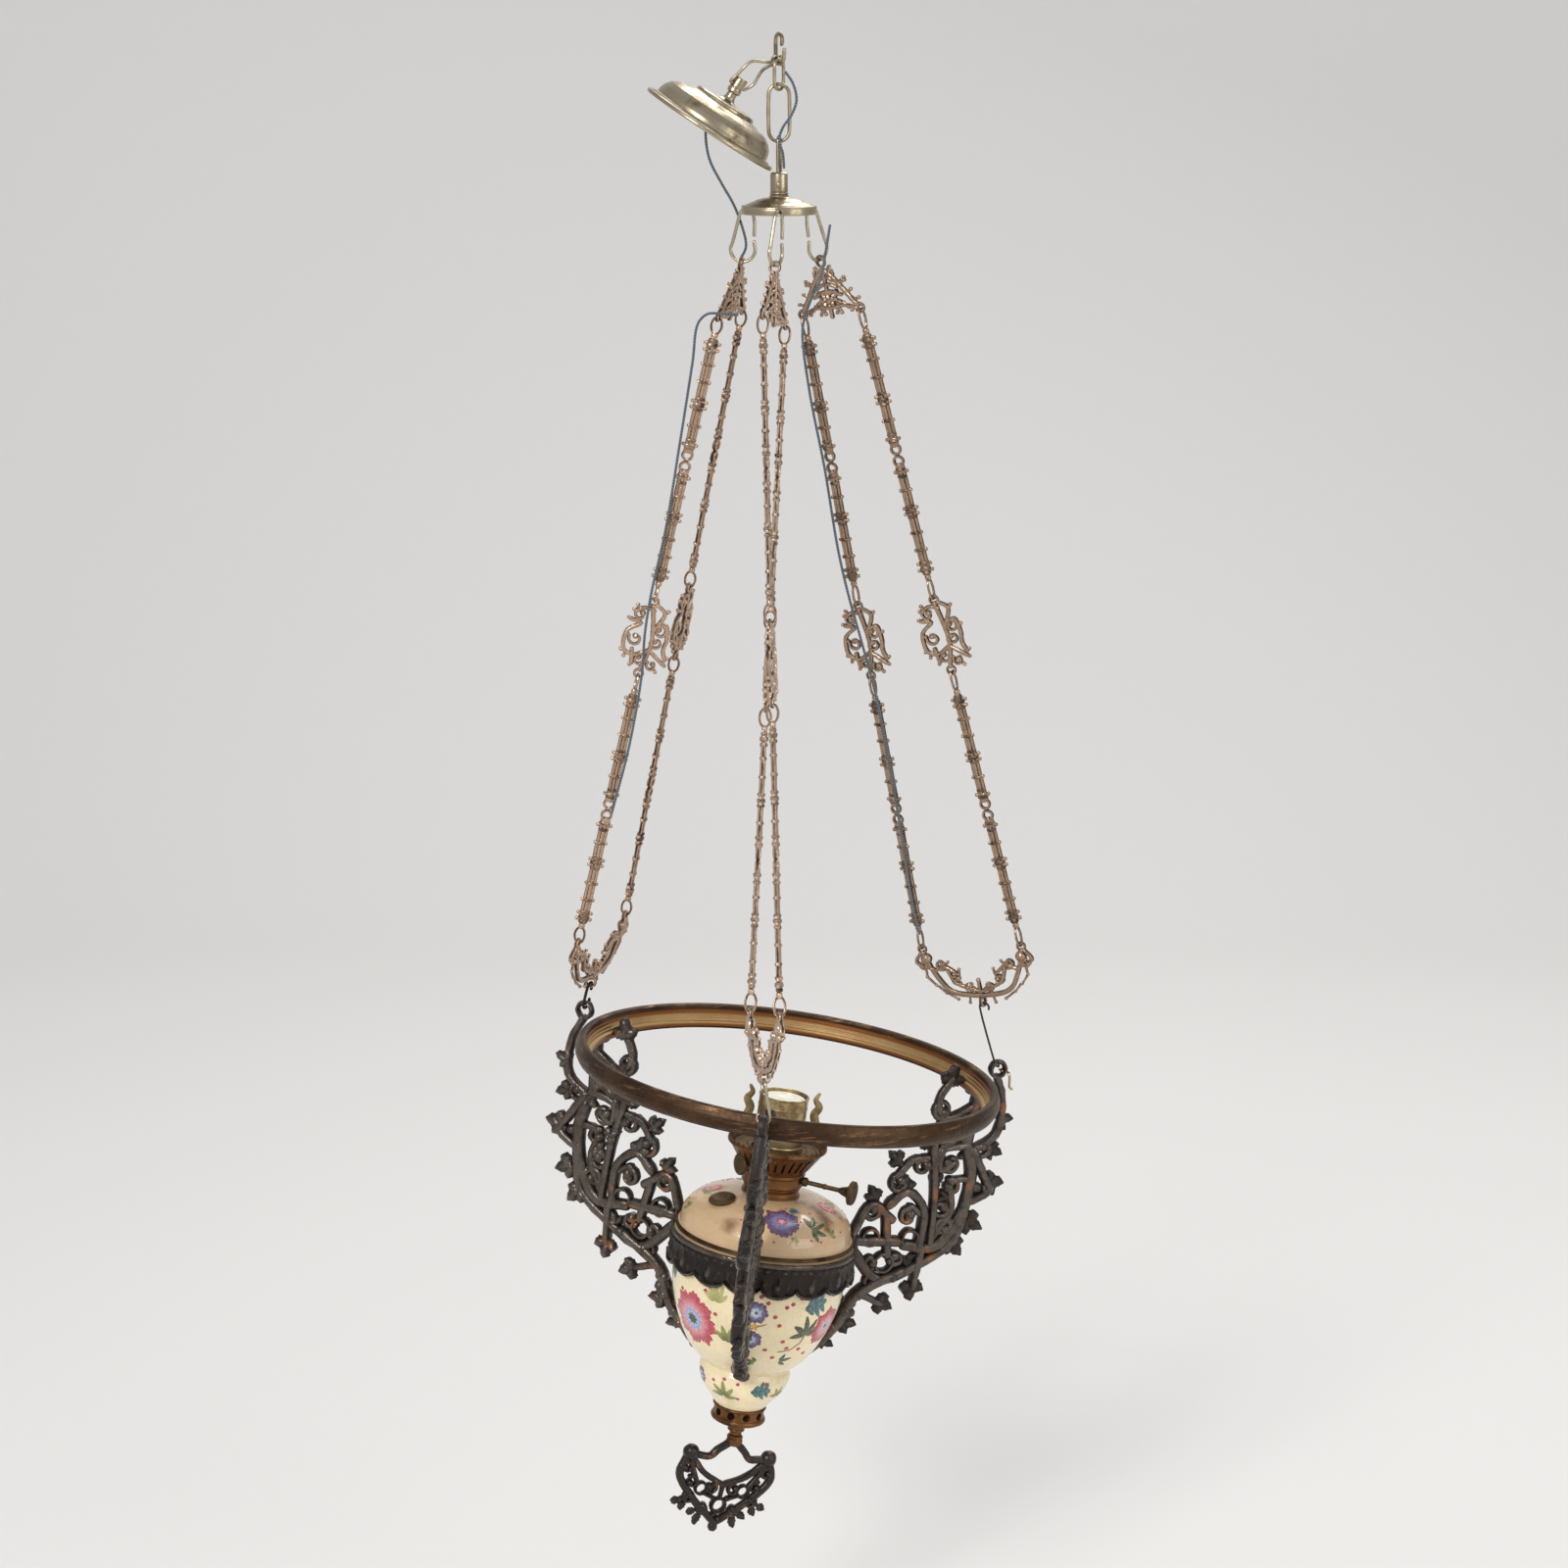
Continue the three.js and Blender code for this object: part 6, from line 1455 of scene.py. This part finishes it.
def make_burner():
    top = FONT_TOP + 0.3
    f = Form().lathe([
        (16.9, top + 8.6), (24.8, top + 8.6), (25.2, top + 8), (24.6, top + 6.4), (23.6, top + 4.6),
        (24.0, top + 2), (25.2, top + 0.8), (25.2, top), (19.6, top), (19.6, top - 6),
        (16.9, top - 6)], 96, 0.3)
    f.piece("burner_collar_ring", BASKET_MM, "font", "copper", "copper", "burner_collar")
    foot = BOWL_FOOT
    cone = foot + 12
    rim = cone + 24.5
    f = Form().lathe([
        (14.8, foot - 8), (16.6, foot - 8), (16.6, foot), (25.6, foot), (26.6, foot + 0.8), (26.2, foot + 2.2),
        (26.4, foot + 8.6), (27.4, foot + 9.6), (27.4, foot + 11), (26.6, cone), (30, cone + 4.2),
        (40.4, rim - 5), (41.6, rim - 4), (42.6, rim - 3.4), (42.9, rim - 2.2), (42.6, rim - 1), (41.6, rim),
        (40.6, rim), (40.6, rim - 2.4), (24.8, cone), (24.8, foot + 1.6), (14.8, foot + 1.6)], 120, 0.3)
    way = Vector((16.2, 0, 22.1)).normalized()
    out = Vector((way.z, 0, -way.x))
    middle = Vector((34.4, 0, cone + 11.6))
    slots = Form()
    for i in range(32):
        box = [middle + way * a + out * b for a, b in ((-7.6, -4), (7.6, -4), (7.6, 4), (-7.6, 4))]
        slots.put(Form().rings([[p + Y * y for p in box] for y in (-1.15, 1.15)]), turn(11.25 * i))
    f.piece("burner_body_shell", BASKET_MM, "burner", "tarnished_brass", "copper", "burner_body",
            sharp=35, cutters=[slots, peg(2.5, 20, 32, SPINDLE)])
    deck = Form().lathe([
        (21.8, rim - 7), (36.6, rim - 7), (37.2, rim - 6.2), (36.6, rim - 5.6), (21.8, rim - 6.1)], 96, 0.2)
    holes = Form()
    for i in range(36):
        for r in (25.5, 33.5):
            holes.put(peg(1.0, -2, 2, turn(90, "Y"), 8), turn(10 * i) @ move(r, 0, rim - 6.4))
    deck.piece("burner_deck", BASKET_MM, "burner", "tarnished_brass", "burner brass", cutters=[holes])
    trim = Form()
    teeth(trim, [(0, -0.4), (0.8, -0.4), (0.95, 0.9), (0.5, 1.5), (0, 1.6)], 40, 8, move(41.6, 0, rim - 0.2))
    side_cap = turn(-148) @ move(28, 0, cone + 5) @ turn(90, "Y")
    knob = Form().lathe([
        (0, 0), (3.4, 0), (3.4, 5), (8.2, 5.4), (9, 6), (9, 7.6), (8.2, 8.2), (6.8, 8.2), (6.4, 7.7),
        (3.4, 7.7), (3, 8.3), (0, 8.4)], 48, 0.25)
    trim.put(knob, side_cap)
    teeth(trim, [(0, 5.6), (0.45, 5.6), (0.45, 8), (0, 8)], 30, 6, move(9, 0, 0), side_cap)
    trim.piece("burner_trim", BASKET_MM, "burner", "tarnished_brass", "burner brass")
    base = foot + 1.9
    top = TUBE_TOP
    ledge = top - 2.4 - 8 - 0.3
    f = Form().lathe([
        (21.3, top), (21.6, top - 0.6), (21.0, top - 1.3), (21.0, top - 9), (21.4, top - 9.6),
        (21.0, top - 10.2), (21.0, top - 42), (21.7, top - 43), (21.0, top - 44), (21, base), (19.4, base),
        (19.4, ledge - 2), (18.0, ledge), (19.4, ledge + 0.2), (19.4, top), (20.4, top + 0.3)], 96, 0.25)
    for spin in (0, 180):
        rings = []
        line = smooth_profile([
            (20.2, top - 44), (24, top - 44.4), (29.6, top - 43.4), (30.6, top - 40), (30.8, top - 30),
            (30.2, top - 22), (28.4, top - 14), (28.6, top - 8), (30.8, top - 1), (30.2, top + 2.6),
            (29.4, top + 4.8)], 3)
        for i, (x, z) in enumerate(line):
            a, b = Vector(line[max(i - 1, 0)]), Vector(line[min(i + 1, len(line) - 1)])
            tangent = (b - a).normalized()
            nx, nz = -tangent.y * 0.6, tangent.x * 0.6
            t = i / (len(line) - 1)
            half = 3 * (0.72 + 0.28 * math.cos(t * 13)) * (1 - 0.75 * max(0, t - 0.86) / 0.14)
            rings.append([Vector((x + nx * out, across * half, z + nz * out)) for out, across in (
                (1, -1), (-1, -1), (-1.3, 0), (-1, 1), (1, 1), (1.3, 0))])
        spring = Form().rings(rings)
        flame = through([(30.6, top - 34), (29.4, top - 22), (27.6, top - 14), (30.8, top - 7), (27.2, top - 1),
                         (29.8, top + 5)], 4)
        spring.sweep(flame, lambda t: [(u * 3.8 * math.sin(math.pi * (0.2 + 0.7 * t)), v * 0.6) for u, v in (
            (1, 0), (0.6, 1), (-0.6, 1), (-1, 0), (-0.6, -1), (0.6, -1))], normal=Y)
        f.put(spring, turn(spin))
    f.piece("lamp_tube_shell", BASKET_MM, "burner", "brass", "tube brass", "lamp_tube",
            cutters=[peg(2.6, 15, 24, SPINDLE)])
    top -= 2.4
    r = 18.7
    f = Form().lathe([
        (0, top - 0.6), (4.4, top - 0.6), (4.8, top), (r - 3.4, top), (r - 2.8, top - 0.8),
        (r - 1.8, top - 0.8), (r - 1.2, top), (r - 0.4, top - 0.3), (r, top - 1.2), (r, top - 8),
        (0, top - 8)], 80, 0.25)
    slots = [peg(1.6, -4, 4, move(x, 0, top) @ turn(90, "Y")) for x in (-9, 9)]
    f.piece("socket_insert_disc", BASKET_MM, "burner", "porcelain", "porcelain", "socket_insert", cutters=slots)
    shaft = Form().lathe([
        (0, 20.6), (2, 20.6), (2, 27), (3.6, 27.4), (4, 28.4), (4, 30.6), (3.4, 31.4), (2, 31.8), (2, 46),
        (2.5, 46.6), (2.5, 48), (2, 48.6), (2, 60), (3.2, 62.5), (4.6, 67), (6.4, 69.2), (9.4, 69.8),
        (10, 70.4), (10, 73.4), (9.4, 74.2), (8.2, 74.2), (7.8, 73.7), (5.8, 73.7), (5.4, 74.2), (3, 74.2),
        (2.6, 73.8), (0, 73.8)], 64, 0.25)
    teeth(shaft, [(0, 70.2), (0.5, 70.3), (0.5, 73.5), (0, 73.6)], 34, 6, move(9.9, 0, 0))
    shaft.piece("wick_spindle_turning", BASKET_MM @ SPINDLE @ turn(90, "Y"), "wick_spindle",
                "tarnished_brass", "burner brass", "wick_spindle")


# Base collar, tie rod and pull handle

def make_foot():
    f = Form().lathe([
        (20.4, 0), (22.6, 0), (23.4, -1), (22.6, -2), (21.9, -2.6), (21.9, -9.4), (23.2, -10.2), (23.9, -12),
        (23.2, -13.8), (20.6, -15.4), (17, -16.6), (14.8, -17.4), (12, -17.8), (9, -18.6), (7.4, -20),
        (6.6, -22.6), (7.4, -23.6), (7.4, -24.6), (5.4, -25.4), (5.2, -28.7), (3.4, -28.7), (3.4, -15.5),
        (20.4, -11.5)], 96, 0.3)
    holes = [peg(3.4, 15, 30, turn(36 * i) @ move(0, 0, -6)) for i in range(10)]
    f.piece("base_collar_turning", BASKET_MM @ move(0, 0, BASE_TOP), "lamp", "copper", "copper",
            "base_collar", cutters=holes)
    nut = VASE_FOOT + 5.3
    top, foot = nut + 7, BOSS_TOP - 7.2
    f = Form().lathe([(0, foot), (2.5, foot), (2.8, foot + 0.6), (2.8, top - 0.8), (2.2, top), (0, top)], 24, 0.2)
    f.put(Form().lathe([(2.8, 0), (6.4, 0), (7, 0.6), (7, 3.4), (6.4, 4), (2.8, 4)], 6, 0.2), move(0, 0, nut))
    f.piece("tie_rod_shaft", BASKET_MM, "lamp", "steel_wire", "steel wire", "tie_rod")


def handle_form():
    t, w, h = 7, 37, 9.6
    f = Form()
    for points, widths in (
            ([(3, -h + 2), (13, -h - 6), (19, -h - 12), (w - 3, -h - 11)], (6.6, 6)),
            ([(w + 2, -h - 13), (w + 6, -h - 30), (24, -h - 53), (0, -h - 72)], (7, 7)),
            ([(w - 3, -h - 14), (20, -h - 28), (0, -h - 37)], (5.6, 5.2)),
            ([(w - 2, -h - 16), (30, -h - 28), (24, -h - 38)], (5, 4.8)),
            ([(6, -h - 50), (17, -h - 46)], (4, 3.4)), ([(w - 6, -h - 50), (w + 1, -h - 54)], (4.4, 3.4))):
        f.both(points, widths, t)
    f.stroke([(0, -h - 36), (0, -h - 50)], (4, 3.6), t)
    for side in (-1, 1):
        f.ball(side * w, 0, -h - 10, 7.4, 0.95, 18)
        f.eye(side * 20, -h - 42, 4, 2.8, t * 0.9)
        f.curls(((30, -h - 37, 5.75, 60, 290), (11, -h - 41, 5.75, 120, 290), (29, -h - 51, 5.29, 30, -280),
                 (14, -h - 60, 5.75, 20, -290), (w + 1, -h - 24, 5.06, 90, 280)), side, 4, t * 0.9)
        for x, z, angle, long in (
                (w + 1, -h - 54, -20, 7), (w - 5, -h - 57, -60, 7), (16, -h - 68, -70, 8),
                (22, -h - 62, -40, 7)):
            f.leaf(side * x, z, angle if side > 0 else 180 - angle, long, 8, t * 0.9)
    f.eye(0, -h - 56, 4.6, 3.4, t)
    f.curl(0, -h - 69, 6.4, 90, 300, 3.4, t)
    f.ball(0, 0, -h - 76, 4.6, 0.9)
    return f.roughen(0.5, 5)


def make_handle():
    place = BASKET_MM @ move(0, 0, BOSS_TOP)
    handle_form().piece("pull_handle_scrolls", place @ turn(22) @ turn(6, "Y"), "pull_handle", "bronze",
                        "handle bronze", "pull_handle", sharp=50)
    boss = Form().lathe([
        (2.9, 0), (5.6, 0), (6.4, -0.8), (7.1, -2), (6.4, -3.4), (7.1, -4.8), (7.1, -7), (6, -9.6),
        (2.9, -9.6)], 64, 0.3)
    boss.piece("pull_handle_boss", place, "pull_handle", "bronze", "copper")


# Operators

class LampStage(bpy.types.Operator):
    """Pale floor, soft lamps and the camera at the photographed angle"""
    bl_idname = "lamp.stage"
    bl_label = "Stage and camera"

    def execute(self, context):
        make_stage()
        return {"FINISHED"}


class LampFlexes(bpy.types.Operator):
    """Four bare-ended lengths of braided flex"""
    bl_idname = "lamp.flexes"
    bl_label = "Flexes"

    def execute(self, context):
        make_flexes()
        return {"FINISHED"}


class LampHardware(bpy.types.Operator):
    """Ceiling hook, links, stem, cap and the ovals under the cap"""
    bl_idname = "lamp.hardware"
    bl_label = "Hook, links and cap"

    def execute(self, context):
        make_hardware()
        return {"FINISHED"}


class LampCanopy(bpy.types.Operator):
    """Spun ceiling canopy lying over on its bail"""
    bl_idname = "lamp.canopy"
    bl_label = "Canopy"

    def execute(self, context):
        make_canopy()
        return {"FINISHED"}


class LampChains(bpy.types.Operator):
    """Crowns, bars, plates, yokes and small hooks of the three chains"""
    bl_idname = "lamp.chains"
    bl_label = "Chains"

    def execute(self, context):
        make_chains()
        return {"FINISHED"}


class LampRing(bpy.types.Operator):
    """Turned ring that carries the shade"""
    bl_idname = "lamp.ring"
    bl_label = "Shade ring"

    def execute(self, context):
        make_ring()
        return {"FINISHED"}


class LampArms(bpy.types.Operator):
    """Three pierced brackets and the broken wire hook"""
    bl_idname = "lamp.arms"
    bl_label = "Arms"

    def execute(self, context):
        make_arms()
        return {"FINISHED"}


class LampVessels(bpy.types.Operator):
    """Gallery band, vase, oil font and filler cap"""
    bl_idname = "lamp.vessels"
    bl_label = "Band, vase and font"

    def execute(self, context):
        make_band()
        make_vessels()
        make_filler()
        return {"FINISHED"}


class LampFlowers(bpy.types.Operator):
    """Enamel flowers on the vase and the font"""
    bl_idname = "lamp.flowers"
    bl_label = "Painted flowers"

    def execute(self, context):
        make_flowers()
        return {"FINISHED"}


class LampBurner(bpy.types.Operator):
    """Burner with its collar, tube, insert and wick spindle"""
    bl_idname = "lamp.burner"
    bl_label = "Burner"

    def execute(self, context):
        make_burner()
        return {"FINISHED"}


class LampFoot(bpy.types.Operator):
    """Pierced base collar, tie rod and pull handle"""
    bl_idname = "lamp.foot"
    bl_label = "Base and handle"

    def execute(self, context):
        make_foot()
        make_handle()
        return {"FINISHED"}


STEPS = (LampStage, LampFlexes, LampHardware, LampCanopy, LampChains, LampRing, LampArms, LampVessels,
         LampFlowers, LampBurner, LampFoot)


class LampPanel(bpy.types.Panel):
    """Lists the lamp's sizes, colours and pieces"""
    bl_idname = "VIEW3D_PT_lamp"
    bl_label = "Hanging oil lamp"
    bl_space_type = "VIEW_3D"
    bl_region_type = "UI"
    bl_category = "Lamp"

    def draw(self, context):
        for step in STEPS:
            self.layout.operator(step.bl_idname)
        for group in (context.scene.lamp_sizes, context.scene.lamp_colours):
            for name in group.bl_rna.properties.keys():
                if name not in ("rna_type", "name"):
                    self.layout.prop(group, name)


CLASSES = (LampSizes, LampColours, *STEPS, LampPanel)


def register():
    for one in CLASSES:
        bpy.utils.register_class(one)
    bpy.types.Scene.lamp_sizes = PointerProperty(type=LampSizes)
    bpy.types.Scene.lamp_colours = PointerProperty(type=LampColours)


def unregister():
    del bpy.types.Scene.lamp_colours
    del bpy.types.Scene.lamp_sizes
    for one in reversed(CLASSES):
        bpy.utils.unregister_class(one)


def main():
    register()
    for step in STEPS:
        group, name = step.bl_idname.split(".")
        getattr(getattr(bpy.ops, group), name)()
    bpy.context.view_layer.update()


if __name__ == "__main__":
    main()
